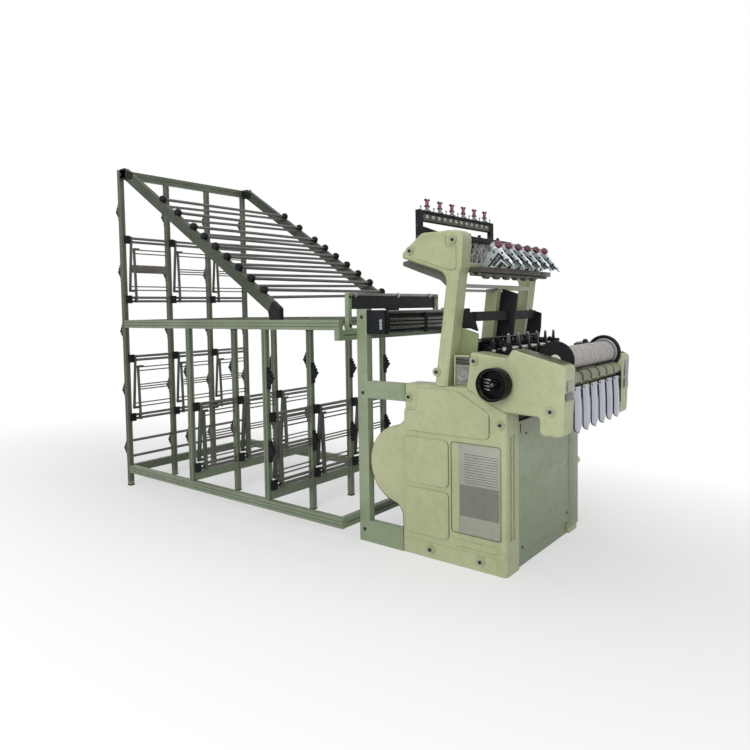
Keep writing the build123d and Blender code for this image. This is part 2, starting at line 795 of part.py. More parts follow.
def take_up():
    """The cloth roller with its two flanges, the press rollers under it and the chutes in front."""
    near = housing_near_x
    far = housing_far_x
    drum_near = flange_gap + flange_thickness
    span = far - near
    seat = shaft_seat - 1
    drum = [(-seat, 0), (-seat, shaft_radius), (drum_near, shaft_radius), (drum_near, roller_radius),
            (span - drum_near, roller_radius), (span - drum_near, shaft_radius), (span + seat, shaft_radius),
            (span + seat, 0)]
    save("take_up_roller", turned(drum, roller_y, roller_z, near))
    ring = [(flange_gap, shaft_radius + seat_gap), (flange_gap, flange_radius), (drum_near, flange_radius),
            (drum_near, shaft_radius + seat_gap)]
    near_ring = turned(ring, roller_y, roller_z, near)
    save("take_up_flanges", near_ring, across_loom(near_ring))
    save("press_shaft", rod((near - seat, press_y, press_z), (far + seat, press_y, press_z), press_shaft_radius))
    half = (head_pitch - press_gap) / 2
    bore = press_shaft_radius + seat_gap
    sleeve = [(-half, bore), (-half, press_radius), (half, press_radius), (half, bore)]
    save("press_rollers", *[turned(sleeve, press_y, press_z, x) for x in head_x])
    rail = block(near, far, chute_y, chute_y + chute_rail_depth, chute_top_z - chute_rail_height, chute_top_z)
    save("chute_rail", rail)
    bottom = chute_top_z - chute_length
    half = chute_width / 2
    chutes = []
    for x in head_x:
        back = [(chute_y, chute_top_z), (chute_y - chute_bulge, chute_top_z - chute_length / 2),
                (chute_y - chute_end_bulge, bottom)]
        face = [(y - chute_thickness, z) for y, z in reversed(back)]
        side = side_plate(back + face, x - half, x + half)
        front = Plane(origin=(x, chute_y, 0), x_dir=(1, 0, 0), z_dir=(0, -1, 0))
        shape = make_face(Polyline((-half, chute_top_z), (-half, bottom + chute_point), (0, bottom),
                                   (half, bottom + chute_point), (half, chute_top_z), close=True))
        chutes.append(side & extrude(front * shape, chute_bulge + 2 * chute_thickness))
    save("tape_chutes", *chutes)


def weaving():
    """The six weaving heads on the bed and the shaft with their weft arms."""
    bases = [block(x - head_base_width / 2, x + head_base_width / 2, head_base_y - head_base_depth / 2,
                   head_base_y + head_base_depth / 2, bed_top_z, bed_top_z + head_base_height) for x in head_x]
    save("weaving_heads", *bases)
    pedestals = []
    for x in (housing_near_x + pedestal_width, housing_far_x - 2 * pedestal_width):
        stand = block(x, x + pedestal_width, weft_y - pedestal_depth / 2, weft_y + pedestal_depth / 2, bed_top_z,
                      bed_top_z + pedestal_height)
        pedestals.append(stand - rod((x, weft_y, weft_z), (x + pedestal_width, weft_y, weft_z),
                                     weft_shaft_radius + shaft_play))
    save("weft_pedestals", *pedestals)
    near = housing_near_x + pedestal_width / 2
    far = housing_far_x - pedestal_width / 2
    shaft = rod((near, weft_y, weft_z), (far, weft_y, weft_z), weft_shaft_radius)
    save("weft_shaft", shaft)
    arms = []
    for x in head_x:
        outline = [(weft_y - weft_arm_width / 2, weft_z + weft_shaft_radius + seat_gap),
                   (weft_y + weft_arm_width / 2, weft_z + weft_shaft_radius + seat_gap),
                   (weft_y + weft_arm_tip / 2, weft_z + weft_shaft_radius + weft_arm_length),
                   (weft_y - weft_arm_tip / 2, weft_z + weft_shaft_radius + weft_arm_length)]
        arms.append(side_plate(outline, x - weft_arm_thickness / 2, x + weft_arm_thickness / 2))
    save("weft_arms", *arms)


def handwheel():
    x0 = loom_near_x - wheel_stand - wheel_width
    seat = wheel_stand + wheel_width + wheel_shaft_seat - 1
    inner = wheel_radius - wheel_rim
    web = (wheel_width - wheel_web) / 2
    rim = [(0, inner), (0, wheel_radius), (wheel_width, wheel_radius), (wheel_width, inner),
           (web + wheel_web, inner), (web + wheel_web, wheel_hub_radius), (wheel_width, wheel_hub_radius),
           (wheel_width, wheel_shaft_radius), (seat, wheel_shaft_radius), (seat, 0), (0, 0),
           (0, wheel_hub_radius), (web, wheel_hub_radius), (web, inner)]
    save("handwheel", turned(rim, wheel_y, wheel_z, x0))


def head_top(y):
    """Height of the sloping rear part of the arms' heads at y."""
    share = (y - head_rear_y) / (head_shoulder_y - head_rear_y)
    return head_rear_top_z + share * (head_top_z - head_rear_top_z)


def yarn_path():
    bar_rear = chin_y - seat_gap
    bar_front = bar_rear - feeder_bar_depth
    bar_top = chin_z
    bar_low = bar_top - feeder_bar_height
    save("feeder_bar", block(arm_near_x, loom_far_x, bar_front, bar_rear, bar_low, bar_top)
         + block(arm_near_x, arm_near_x + feeder_seat_length, bar_rear, bar_rear + feeder_seat_depth, bar_low, bar_top))
    plates = []
    knobs = []
    lean = radians(feeder_tilt)
    edge_foot = (feeder_top_y - feeder_edge_length * cos(lean), feeder_top_z - feeder_edge_length * sin(lean))
    outline = [(feeder_foot_rear_y, bar_top), (feeder_foot_front_y, bar_top), (feeder_hollow_y, feeder_hollow_z),
               (feeder_tip_y + feeder_tip_width, feeder_tip_z), (feeder_tip_y, feeder_tip_z),
               (feeder_tip_y, feeder_tip_z + feeder_tip_height), edge_foot, (feeder_top_y, feeder_top_z),
               (feeder_top_y + feeder_top_width, feeder_top_z - feeder_top_drop)]
    for x in head_x:
        down = Plane(origin=(x, feeder_top_y, feeder_top_z), x_dir=(1, 0, 0),
                     z_dir=(0, -sin(lean), cos(lean)))
        plates.append(side_plate(outline, x - feeder_thickness / 2, x + feeder_thickness / 2))
        knobs.append(down * Pos(0, -knob_drop, 0) * extrude(RegularPolygon(knob_radius, knob_sides), knob_height))
    save("weft_feeders", *plates)
    save("feeder_knobs", *knobs)
    rear = tension_y + tension_depth / 2
    front = tension_y - tension_depth / 2
    post_top = tension_top_z - tension_bar_height
    near_post = side_plate([(rear, head_top(rear)), (rear, post_top), (front, post_top), (front, head_top(front))],
                           loom_offset - tension_post_reach - tension_post_width / 2,
                           loom_offset - tension_post_reach + tension_post_width / 2)
    reach = tension_post_reach + tension_post_width / 2
    rail = block(loom_offset - reach, loom_offset + reach, front, rear, post_top, tension_top_z)
    inner = tension_post_reach - tension_post_width / 2
    rail += block(loom_offset - inner, loom_offset + inner, tension_y - tension_web_thickness / 2,
                  tension_y + tension_web_thickness / 2, post_top - tension_web_height, post_top)
    corner_z = post_top - tension_gusset_drop + tension_gusset_height
    start = loom_offset - inner
    foot_z = corner_z - tension_gusset_height
    gusset = make_face(Polyline((start, corner_z), (start, foot_z), (start + tension_gusset_length, foot_z),
                                close=True))
    across = Plane(origin=(0, tension_y + tension_web_thickness / 2, 0), x_dir=(1, 0, 0), z_dir=(0, -1, 0))
    rail += near_post + across_loom(near_post) + extrude(across * gusset, tension_web_thickness)
    save("tension_rail", rail)
    bodies = []
    caps = []
    for i in range(head_count):
        x = loom_offset + (i - (head_count - 1) / 2) * tensioner_pitch
        foot = Plane(origin=(x, tension_y, tension_top_z))
        bodies.append(foot * extrude(RegularPolygon(tensioner_radius, knob_sides), tensioner_height,
                                     taper=tensioner_taper))
        caps.append(foot * Pos(0, 0, tensioner_height) * extrude(RegularPolygon(cap_radius, knob_sides), cap_height))
    save("tensioners", *bodies)
    save("tensioner_caps", *caps)


def harness():
    y0 = harness_y - harness_bar_depth / 2
    y1 = harness_y + harness_bar_depth / 2
    top = block(arm_near_x, arm_far_x, y0, y1, harness_top_z - harness_bar_height, harness_top_z)
    bottom = block(arm_near_x, arm_far_x, y0, y1, harness_bottom_z - harness_bar_height, harness_bottom_z)
    save("harness_bars", top, bottom)
    springs = []
    for x in head_x:
        for i in range(springs_per_head):
            at = x + (i - (springs_per_head - 1) / 2) * spring_pitch
            springs.append(bar((at, harness_y, harness_bottom_z), (at, harness_y, harness_top_z - harness_bar_height),
                               spring_radius, spring_sides))
    save("harness_springs", *springs)
    front = cross_bar_y - cross_bar_size / 2
    grey = block(arm_near_x, arm_far_x, front, front + cross_bar_size, column_top_z, column_top_z + cross_bar_size)
    low = column_top_z - black_bar_drop
    near_face = loom_offset - column_thickness / 2
    black = block(arm_near_x, near_face, black_bar_y, black_bar_y + black_bar_size, low, low + black_bar_size)
    save("cross_bar", grey, black)


def guides():
    """Black plates on both arms and on the centre column, the beam between them, and the pale guard."""
    near = arm_near_x
    middle = loom_offset + column_thickness / 2
    far = arm_far_x - guide_plate_thickness
    plates = [(near_guide_plate, near), (middle_guide_plate, middle), (far_guide_plate, far)]
    solids = [side_plate(points, x, x + guide_plate_thickness) for points, x in plates]
    half = guide_beam_depth / 2
    beams = [block(a + guide_plate_thickness, b, guide_beam_y - half, guide_beam_y + half, guide_beam_z,
                   guide_beam_z + guide_beam_height) for a, b in ((near, middle), (middle, far))]
    save("guide_plates", solids[0] + beams[0] + solids[1] + beams[1] + solids[2])
    guard = [(guard_rear_y, bed_top_z, 0), (guard_rear_y, guard_top_z, 0),
             (guard_front_y, guard_front_z, guard_corner), (guard_front_y + guard_corner, bed_top_z, 0)]
    save("guard_plate", shaped_plate(guard, near, near + guard_thickness))


def links():
    x0 = loom_near_x
    x1 = loom_near_x + support_thickness
    post = block(x0, x1, -support_width, 0, 0, support_height)
    save("support_posts", post, across_loom(post))
    lower = block(x0, x0 + link_thickness, side_foot_rear_y, -support_width, 0, lower_link_height)
    upper = block(x0, x0 + link_thickness, side_rear_y, -support_width, side_top_z - upper_link_height, side_top_z)
    save("link_beams", lower, upper, across_loom(lower), across_loom(upper))


def rack():
    """The guide rack between creel and loom: two posts with a tray, and tubes between end brackets."""
    beam_top = table_z - rail_height
    plate_top = beam_top + foot_plate_thickness
    half = rack_post_size / 2
    post_x = loom_offset - half_width + rack_inset
    foot = block(post_x - half, post_x + half, 0, rack_y + half, beam_top, plate_top)
    post = block(post_x - half, post_x + half, rack_y - half, rack_y + half, plate_top, rack_top_z)
    save("rack_posts", foot + post, across_loom(foot + post))
    left = post_x + half
    right = 2 * loom_offset - left
    tray = block(left, right, rack_y - tray_thickness / 2, rack_y + tray_thickness / 2, rack_top_z - tray_height,
                 rack_top_z - tray_bar_size)
    tray += block(left, right, rack_y - tray_bar_size / 2, rack_y + tray_bar_size / 2, rack_top_z - tray_bar_size,
                  rack_top_z)
    save("rack_tray", tray)
    plate = block(loom_near_x, loom_near_x + rack_bracket_thickness, rack_bracket_front_y, -support_width,
                  rack_tube_z - rack_bracket_below, rack_tube_z + rack_bracket_above)
    save("rack_brackets", plate, across_loom(plate))
    near = loom_near_x + rack_bracket_thickness
    far = loom_far_x - rack_bracket_thickness
    heights = [rack_tube_z + i * rack_tube_pitch for i in range(rack_tube_count)] + [rack_tube_z + rack_bar_rise]
    save("rack_tubes", *[rod((near, rack_tube_y, z), (far, rack_tube_y, z), rack_tube_radius) for z in heights])


os.makedirs("parts", exist_ok=True)
creel_frame()
creel_feet()
slope_rails()
guide_tubes()
beam_brackets()
brakes()
castings()
bed_and_ties()
take_up()
weaving()
handwheel()
yarn_path()
harness()
guides()
links()
rack()
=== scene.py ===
import math
import random

import bmesh
import bpy
from mathutils import Matrix, Vector


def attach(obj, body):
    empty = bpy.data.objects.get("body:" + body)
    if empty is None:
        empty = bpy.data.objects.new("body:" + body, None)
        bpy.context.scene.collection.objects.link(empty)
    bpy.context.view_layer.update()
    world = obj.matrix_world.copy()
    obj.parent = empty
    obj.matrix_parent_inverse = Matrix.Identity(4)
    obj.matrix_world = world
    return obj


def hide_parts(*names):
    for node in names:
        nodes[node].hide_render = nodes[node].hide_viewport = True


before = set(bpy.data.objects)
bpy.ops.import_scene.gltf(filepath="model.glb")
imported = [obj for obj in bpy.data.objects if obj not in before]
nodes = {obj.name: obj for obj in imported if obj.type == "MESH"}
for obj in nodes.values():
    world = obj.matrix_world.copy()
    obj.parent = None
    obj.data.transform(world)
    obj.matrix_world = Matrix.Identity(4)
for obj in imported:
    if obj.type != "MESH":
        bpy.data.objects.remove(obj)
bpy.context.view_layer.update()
print("stage: frame loaded,", len(nodes), "nodes")

machineMiddle = 441.5  # the frame's Y = 0, in the machine millimetres of the part's source


def toFrame(p):
    return Vector((p[0] / 1000, (p[1] - machineMiddle) / 1000, p[2] / 1000))


# paint and plastic finishes; colours are in thousandths, rough is a range, edge is a width in millimetres,
# shine is the shader's specular level and the last value darkens the colour towards the bottom
paintKeys = ("base", "dark", "light", "bare", "rough", "grain", "bump", "edge", "wear", "dirt", "shine",
             "lowDarkening")
paints = {
    "creelGreen": ((145, 182, 116), (76, 97, 62), (195, 240, 158), (300, 310, 280), (0.34, 0.52), 260, 0.10,
                   1.2, 0.35, 0.45),
    # rear posts and beams: creelGreen darkened to 0.6 as painted shade
    "shadedRearGreen": ((88, 110, 70), (48, 60, 38), (122, 150, 98), (260, 270, 240), (0.36, 0.54), 260, 0.10, 1.2,
                  0.35, 0.45),
    # top rails and end beams: creelGreen lightened by about a fifth as painted light
    "litRailGreen": ((178, 222, 142), (96, 122, 78), (236, 286, 192), (320, 330, 300), (0.34, 0.52), 260, 0.10,
                  1.2, 0.35, 0.45),
    # slope rails: creelGreen darkened to about 0.3 as painted shade
    "shadedSlopeGreen": ((43, 54, 33), (24, 30, 18), (66, 80, 52), (240, 250, 210), (0.40, 0.58), 260, 0.10, 1.2,
                   0.35, 0.45, 0.35),
    "trayGrey": ((34, 35, 35), (14, 14, 14), (40, 41, 42), (100, 100, 100), (0.40, 0.60), 320, 0.10, 1, 0.22,
                 0.30, 0.12),
    "supportGreen": ((225, 280, 172), (135, 170, 105), (290, 352, 226), (340, 350, 300), (0.32, 0.48), 240,
                     0.10, 1.4, 0.30, 0.40),
    "guardGreen": ((180, 232, 100), (110, 144, 62), (225, 282, 136), (330, 340, 290), (0.32, 0.48), 300, 0.06,
                   1.2, 0.20, 0.40),
    "leverGrey": ((88, 98, 76), (44, 49, 38), (126, 140, 110), (220, 220, 200), (0.40, 0.58), 300, 0.10, 0.8,
                  0.30, 0.45, 0.30),
    "wheelBlack": ((2.2, 2.4, 2.6), (1, 1, 1.2), (6, 6.5, 7), (30, 30, 30), (0.16, 0.28), 420, 0.05, 0.8,
                   0.10, 0.25, 0.09),
    # dark olive-brown of painted shade, for the housings' shaded tops and the shaded lines round the side
    # panels
    "shadeBrown": ((100, 99, 62), (55, 54, 34), (150, 148, 98), (200, 198, 140), (0.40, 0.60), 260, 0.12, 1.2,
                 0.25, 0.45, 0.30),
    "castingPaint": ((392, 422, 238), (250, 270, 144), (480, 512, 310), (300, 290, 220), (0.30, 0.46), 180,
                     0.16, 3, 0.22, 0.38),
    "sheetPaint": ((285, 342, 212), (172, 215, 130), (340, 400, 268), (330, 340, 310), (0.32, 0.48), 300,
                   0.06, 1.2, 0.20, 0.40, 0.50, 0.70),
    "blackSteel": ((8.5, 9.5, 11), (4, 4.5, 5), (20, 22, 25), (80, 80, 84), (0.42, 0.62), 320, 0.10, 1, 0.22,
                   0.30, 0.10),
    "blackPlastic": ((6, 6.5, 7.5), (3, 3, 4), (14, 15, 17), (40, 40, 44), (0.22, 0.36), 420, 0.06, 1, 0.10,
                     0.25, 0.13),
    "pinkPlastic": ((300, 85, 120), (150, 30, 50), (420, 170, 200), (460, 220, 250), (0.30, 0.46), 380, 0.05,
                    0.8, 0.15, 0.25),
    "maroonPlastic": ((82, 10, 22), (40, 5, 11), (160, 22, 46), (300, 60, 100), (0.22, 0.36), 380, 0.05, 0.8,
                      0.15, 0.25),
    "oliveRubber": ((170, 178, 105), (92, 96, 55), (290, 300, 180), (320, 320, 220), (0.32, 0.50), 500, 0.20,
                    1, 0.15, 0.40),
    "footRubber": ((20, 20, 21), (12, 12, 12), (50, 48, 45), (70, 68, 64), (0.65, 0.85), 400, 0.20, 1, 0.20,
                   0.50),
    "harnessWhite": ((700, 700, 690), (360, 360, 350), (820, 820, 810), (600, 600, 590), (0.30, 0.46), 380,
                     0.05, 0.6, 0.10, 0.35),
    "creamPlastic": ((620, 600, 500), (420, 400, 320), (760, 740, 660), (500, 480, 400), (0.34, 0.50), 380,
                     0.05, 0.8, 0.15, 0.30),
    # creelGreen darkened to about 0.43 as painted shade inside the rails' and posts' slots
    "grooveShadeGreen": ((62, 80, 50), (34, 44, 28), (90, 112, 72), (130, 140, 110), (0.45, 0.65), 260, 0.10, 0.6,
                    0.20, 0.50, 0.30),
    "brownSteel": ((90, 84, 70), (40, 37, 30), (150, 142, 122), (260, 250, 220), (0.34, 0.55), 300, 0.12, 1,
                   0.40, 0.50, 0.40),
    "barBrown": ((40, 36, 30), (18, 16, 13), (85, 78, 64), (260, 250, 220), (0.34, 0.55), 300, 0.12, 1.2,
                 0.50, 0.50, 0.30),
    "shadedPlate": ((190, 195, 160), (130, 134, 110), (240, 246, 205), (330, 330, 290), (0.30, 0.44), 300,
                    0.04, 0.6, 0.20, 0.30),
    "windowGrey": ((215, 230, 175), (120, 128, 98), (310, 325, 260), (300, 300, 240), (0.40, 0.60), 260, 0.10,
                   1, 0.20, 0.50),
    "patchBlue": ((235, 262, 290), (150, 170, 190), (300, 330, 360), (340, 350, 350), (0.30, 0.44), 300, 0.04,
                  0.6, 0.20, 0.30),
    "patchGrey": ((100, 102, 100), (60, 62, 62), (150, 152, 150), (220, 220, 210), (0.30, 0.44), 300, 0.04,
                  0.6, 0.20, 0.30),
    "greyPlate": ((315, 330, 270), (210, 222, 180), (400, 415, 350), (460, 450, 400), (0.30, 0.44), 300, 0.04,
                  0.8, 0.20, 0.30),
}
metalKeys = ("base", "dark", "rough", "along", "bump", "metal")  # along is the axis of the brushing
metals = {
    "brightSteel": ((560, 570, 570), (300, 310, 310), (0.20, 0.40), 0, 0.05),
    "tubeSteel": ((215, 200, 192), (90, 83, 80), (0.36, 0.55), 0, 0.08, 0.70),
    "rimSteel": ((160, 160, 140), (50, 50, 45), (0.22, 0.36), 1, 0.05),
    "dullSteel": ((330, 340, 330), (180, 190, 180), (0.34, 0.55), 2, 0.08),
    "chuteSteel": ((500, 515, 585), (280, 290, 340), (0.16, 0.32), 2, 0.03),
    "feederSteel": ((600, 660, 680), (340, 390, 410), (0.28, 0.48), 1, 0.06, 0.50),
    "darkScrew": ((85, 85, 85), (35, 35, 35), (0.32, 0.50), 0, 0.05),
}


class Tree:
    # adds nodes to one node tree; an input given as a socket is linked, and any other is set

    def __init__(self, tree):
        self.nodes = tree.nodes
        self.links = tree.links

    def feed(self, node, inputs):
        for key, value in inputs.items():
            if isinstance(value, bpy.types.NodeSocket):
                self.links.new(value, node.inputs[key])
            else:
                node.inputs[key].default_value = value
        return node.outputs[0] if node.outputs else None

    def make(self, kind, **settings):
        node = self.nodes.new(kind)
        for key, value in settings.items():
            setattr(node, key, value)
        return node

    def add(self, kind, inputs, **settings):
        return self.feed(self.make(kind, **settings), inputs)

    def noise(self, scale, detail, place=None):
        return self.add("ShaderNodeTexNoise", {"Vector": place or self.place, "Scale": scale, "Detail": detail,
                                               "Roughness": 0.6})

    def ranged(self, value, low, high, outLow=0.0, outHigh=1.0):
        return self.add("ShaderNodeMapRange", {"Value": value, "From Min": low, "From Max": high,
                                               "To Min": outLow, "To Max": outHigh})

    def mix(self, factor, a, b):
        node = self.make("ShaderNodeMix", data_type="RGBA")
        self.feed(node, {0: factor, 6: a, 7: b})
        return node.outputs[2]

    def maths(self, operation, a, b):
        return self.add("ShaderNodeMath", {0: a, 1: b}, operation=operation)


def surfaceTree(name):
    material = bpy.data.materials.new(name)
    material.use_nodes = True
    tree = Tree(material.node_tree)
    tree.shader = tree.nodes["Principled BSDF"]
    tree.place = tree.make("ShaderNodeTexCoord").outputs["Object"]
    return material, tree


def toColour(*thousandths):
    return tuple(v / 1000 for v in thousandths) + (1.0,)


def paintMaterial(name):
    s = {"shine": 0.5, "lowDarkening": 0.0, **dict(zip(paintKeys, paints[name]))}
    base, dark, light, bare = (toColour(*s[key]) for key in ("base", "dark", "light", "bare"))
    material, tree = surfaceTree(name)
    cloudy = tree.noise(3.2, 5.0)
    fine = tree.noise(26.0, 6.0)
    speck = tree.noise(s["grain"], 3.0)
    colour = tree.mix(tree.ranged(cloudy, 0.35, 0.68), base, light)
    colour = tree.mix(tree.maths("MULTIPLY", tree.ranged(fine, 0.48, 0.80), s["dirt"]), colour, dark)
    rounded = tree.add("ShaderNodeBevel", {"Radius": s["edge"] / 1000}, samples=3)
    dot = tree.make("ShaderNodeVectorMath", operation="DOT_PRODUCT")
    tree.feed(dot, {0: rounded, 1: tree.make("ShaderNodeNewGeometry").outputs["Normal"]})
    edges = tree.ranged(dot.outputs["Value"], 0.995, 0.93)  # 1 where the surface turns within the edge's width
    worn = tree.maths("MULTIPLY", edges, tree.ranged(fine, 0.36, 0.58, 0.0, s["wear"] * 2))
    colour = tree.mix(worn, colour, bare)
    colour = tree.mix(tree.ranged(speck, 0.70, 0.74, 0.0, 0.5), colour, dark)
    # darker towards the bottom of the piece
    if s["lowDarkening"]:
        split = tree.make("ShaderNodeSeparateXYZ")
        tree.feed(split, {0: tree.place})
        colour = tree.mix(tree.ranged(split.outputs["Z"], 0.55, 0.10, 0.0, s["lowDarkening"]), colour, dark)
    bump = tree.add("ShaderNodeBump", {"Strength": s["bump"], "Distance": 0.0006, "Height": speck,
                                       "Normal": rounded})
    tree.feed(tree.shader, {"Base Color": colour, "Roughness": tree.ranged(fine, 0.30, 0.75, *s["rough"]),
                            "Specular IOR Level": s["shine"], "Normal": bump})
    return material


def metalMaterial(name):
    s = {"metal": 0.9, **dict(zip(metalKeys, metals[name]))}
    material, tree = surfaceTree(name)
    scale = [900.0, 900.0, 900.0]
    scale[s["along"]] = 14.0
    brushed = tree.noise(1.0, 3.0, tree.add("ShaderNodeMapping", {"Vector": tree.place, "Scale": scale}))
    cloudy = tree.noise(9.0, 5.0)
    dark = toColour(*s["dark"])
    colour = tree.mix(tree.ranged(brushed, 0.25, 0.75), dark, toColour(*s["base"]))
    colour = tree.mix(tree.ranged(cloudy, 0.55, 0.85, 0.0, 0.5), colour, dark)
    bump = tree.add("ShaderNodeBump", {"Strength": s["bump"], "Distance": 0.0003, "Height": brushed})
    tree.feed(tree.shader, {"Base Color": colour, "Roughness": tree.ranged(cloudy, 0.3, 0.75, *s["rough"]),
                            "Metallic": s["metal"], "Normal": bump})
    return material


def rollerMaterial():
    # grey grip covering with a pinkish mottle and slanting creases
    material, tree = surfaceTree("rollerWrap")
    blotch = tree.noise(48.0, 6.0)
    speck = tree.noise(420.0, 4.0)
    slanted = tree.add("ShaderNodeMapping", {"Vector": tree.place, "Rotation": (0.0, 0.6, 0.5),
                                             "Scale": (60.0, 9.0, 14.0)})
    crease = tree.ranged(tree.noise(1.0, 4.0, slanted), 0.44, 0.56)
    colour = tree.mix(tree.ranged(blotch, 0.40, 0.62), toColour(460, 435, 415), toColour(640, 585, 560))
    colour = tree.mix(tree.maths("MULTIPLY", crease, 0.45), colour, toColour(740, 710, 680))
    colour = tree.mix(tree.ranged(speck, 0.50, 0.60, 0.0, 0.75), colour, toColour(200, 185, 175))
    height = tree.maths("ADD", speck, tree.maths("MULTIPLY", crease, 1.5))
    bump = tree.add("ShaderNodeBump", {"Strength": 0.6, "Distance": 0.0014, "Height": height})
    tree.feed(tree.shader, {"Base Color": colour, "Roughness": tree.ranged(speck, 0.3, 0.7, 0.60, 0.85),
                            "Normal": bump})
    return material


materials = {name: paintMaterial(name) for name in paints}
materials.update({name: metalMaterial(name) for name in metals})
materials["rollerWrap"] = rollerMaterial()
print("stage: materials made,", len(materials))


def newTree(name, inputs):
    # a Geometry Nodes tree with named inputs for its sizes and one for its material
    group = bpy.data.node_groups.new(name, "GeometryNodeTree")
    group.interface.new_socket("Geometry", in_out="INPUT", socket_type="NodeSocketGeometry")
    for label, value in inputs.items():
        kind = "NodeSocketInt" if isinstance(value, int) else "NodeSocketFloat"
        group.interface.new_socket(label, in_out="INPUT", socket_type=kind).default_value = value
    group.interface.new_socket("Material", in_out="INPUT", socket_type="NodeSocketMaterial")
    group.interface.new_socket("Geometry", in_out="OUTPUT", socket_type="NodeSocketGeometry")
    tree = Tree(group)
    tree.group = group
    return tree, tree.make("NodeGroupInput").outputs


def closeTree(tree, given, geometry):
    real = tree.add("GeometryNodeRealizeInstances", {"Geometry": geometry})
    coloured = tree.add("GeometryNodeSetMaterial", {"Geometry": real, "Material": given["Material"]})
    tree.add("NodeGroupOutput", {0: coloured})
    return tree.group


def tubeAlong(tree, curve, radius, resolution):
    ring = tree.add("GeometryNodeCurvePrimitiveCircle", {"Radius": radius, "Resolution": resolution})
    return tree.add("GeometryNodeCurveToMesh", {"Curve": curve, "Profile Curve": ring, "Fill Caps": True})


def onEachPoint(tree, given, instance):
    # the instance stands on each point of the input mesh, along the point's own direction
    facing = tree.add("GeometryNodeInputNamedAttribute", {"Name": "facing"}, data_type="FLOAT_VECTOR")
    turn = tree.add("FunctionNodeAlignRotationToVector", {"Vector": facing}, axis="Z")
    return tree.add("GeometryNodeInstanceOnPoints", {"Points": given["Geometry"], "Instance": instance,
                                                     "Rotation": turn})


def roundBarTree():
    # a round bar along each edge of the input mesh
    tree, given = newTree("roundBars", {"Radius": 0.01, "Sides": 16})
    path = tree.add("GeometryNodeMeshToCurve", {"Mesh": given["Geometry"]})
    return closeTree(tree, given, tubeAlong(tree, path, given["Radius"], given["Sides"]))


def screwTree():
    # a head with its washer on every point
    tree, given = newTree("screws", {"Head Radius": 0.006, "Head Height": 0.004, "Head Sides": 6,
                                     "Washer Radius": 0.009, "Washer Height": 0.0015})
    washer = tree.add("GeometryNodeMeshCylinder", {"Vertices": 20, "Radius": given["Washer Radius"],
                                                   "Depth": given["Washer Height"]})
    head = tree.add("GeometryNodeMeshCylinder", {"Vertices": given["Head Sides"],
                                                 "Radius": given["Head Radius"],
                                                 "Depth": given["Head Height"]})
    lift = tree.add("ShaderNodeCombineXYZ", {"Z": tree.maths("MULTIPLY", given["Head Height"], 0.5)})
    raised = tree.add("GeometryNodeTransform", {"Geometry": head, "Translation": lift})
    both = tree.make("GeometryNodeJoinGeometry")
    for part in (washer, raised):
        tree.links.new(part, both.inputs[0])
    return closeTree(tree, given, onEachPoint(tree, given, both.outputs[0]))


def springTree():
    # a coil spring that starts on every point
    tree, given = newTree("springs", {"Coil Radius": 0.004, "Wire Radius": 0.0007, "Height": 0.09,
                                      "Turns": 20.0})
    coil = tree.add("GeometryNodeCurveSpiral", {"Resolution": 8, "Rotations": given["Turns"],
                                                "Start Radius": given["Coil Radius"],
                                                "End Radius": given["Coil Radius"], "Height": given["Height"]})
    return closeTree(tree, given, onEachPoint(tree, given, tubeAlong(tree, coil, given["Wire Radius"], 5)))


def eyeletTree():
    # a ring of round wire on every point, its hole along the point's direction
    tree, given = newTree("eyelets", {"Ring Radius": 0.005, "Wire Radius": 0.0015})
    ring = tree.add("GeometryNodeCurvePrimitiveCircle", {"Radius": given["Ring Radius"], "Resolution": 20})
    return closeTree(tree, given, onEachPoint(tree, given, tubeAlong(tree, ring, given["Wire Radius"], 8)))


trees = {"bars": roundBarTree(), "screws": screwTree(), "springs": springTree(), "eyelets": eyeletTree()}


def finishPiece(name, mesh, body, replaces, sharpAngle=40.0):
    mesh.shade_smooth()
    mesh.set_sharp_from_angle(angle=math.radians(sharpAngle))
    piece = bpy.data.objects.new(name, mesh)
    bpy.context.scene.collection.objects.link(piece)
    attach(piece, body)
    if replaces:
        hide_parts(*replaces)


def grow(name, treeName, mesh, finish, body, values, replaces):
    # runs one tree on the mesh and keeps the result as a plain piece
    source = bpy.data.objects.new(name + "Source", mesh)
    bpy.context.scene.collection.objects.link(source)
    modifier = source.modifiers.new("grow", "NODES")
    modifier.node_group = trees[treeName]
    items = trees[treeName].interface.items_tree
    sockets = {item.name: item.identifier for item in items if item.in_out == "INPUT"}
    modifier[sockets["Material"]] = materials[finish]
    for label, value in values.items():
        modifier[sockets[label]] = value
    bpy.context.view_layer.update()
    evaluated = source.evaluated_get(bpy.context.evaluated_depsgraph_get())
    plain = bpy.data.meshes.new_from_object(evaluated)
    bpy.data.objects.remove(source)
    plain.materials.clear()
    plain.materials.append(materials[finish])
    finishPiece(name, plain, body, replaces)


def roundBars(name, lines, radius, finish, sides=16, replaces=()):
    mesh = bpy.data.meshes.new(name + "Lines")
    edges = []
    start = 0
    for line in lines:
        edges += [(start + i, start + i + 1) for i in range(len(line) - 1)]
        start += len(line)
    mesh.from_pydata([toFrame(p) for line in lines for p in line], edges, [])
    grow(name, "bars", mesh, finish, "root", {"Radius": radius / 1000, "Sides": sides},
         replaces)


def onPoints(name, treeName, points, finish, values, body="root", replaces=()):
    # points are (place, direction) in machine millimetres
    mesh = bpy.data.meshes.new(name + "Points")
    mesh.from_pydata([toFrame(place) for place, direction in points], [], [])
    facing = mesh.attributes.new("facing", "FLOAT_VECTOR", "POINT")
    for i, (place, direction) in enumerate(points):
        facing.data[i].vector = Vector(direction).normalized()
    grow(name, treeName, mesh, finish, body, values, replaces)


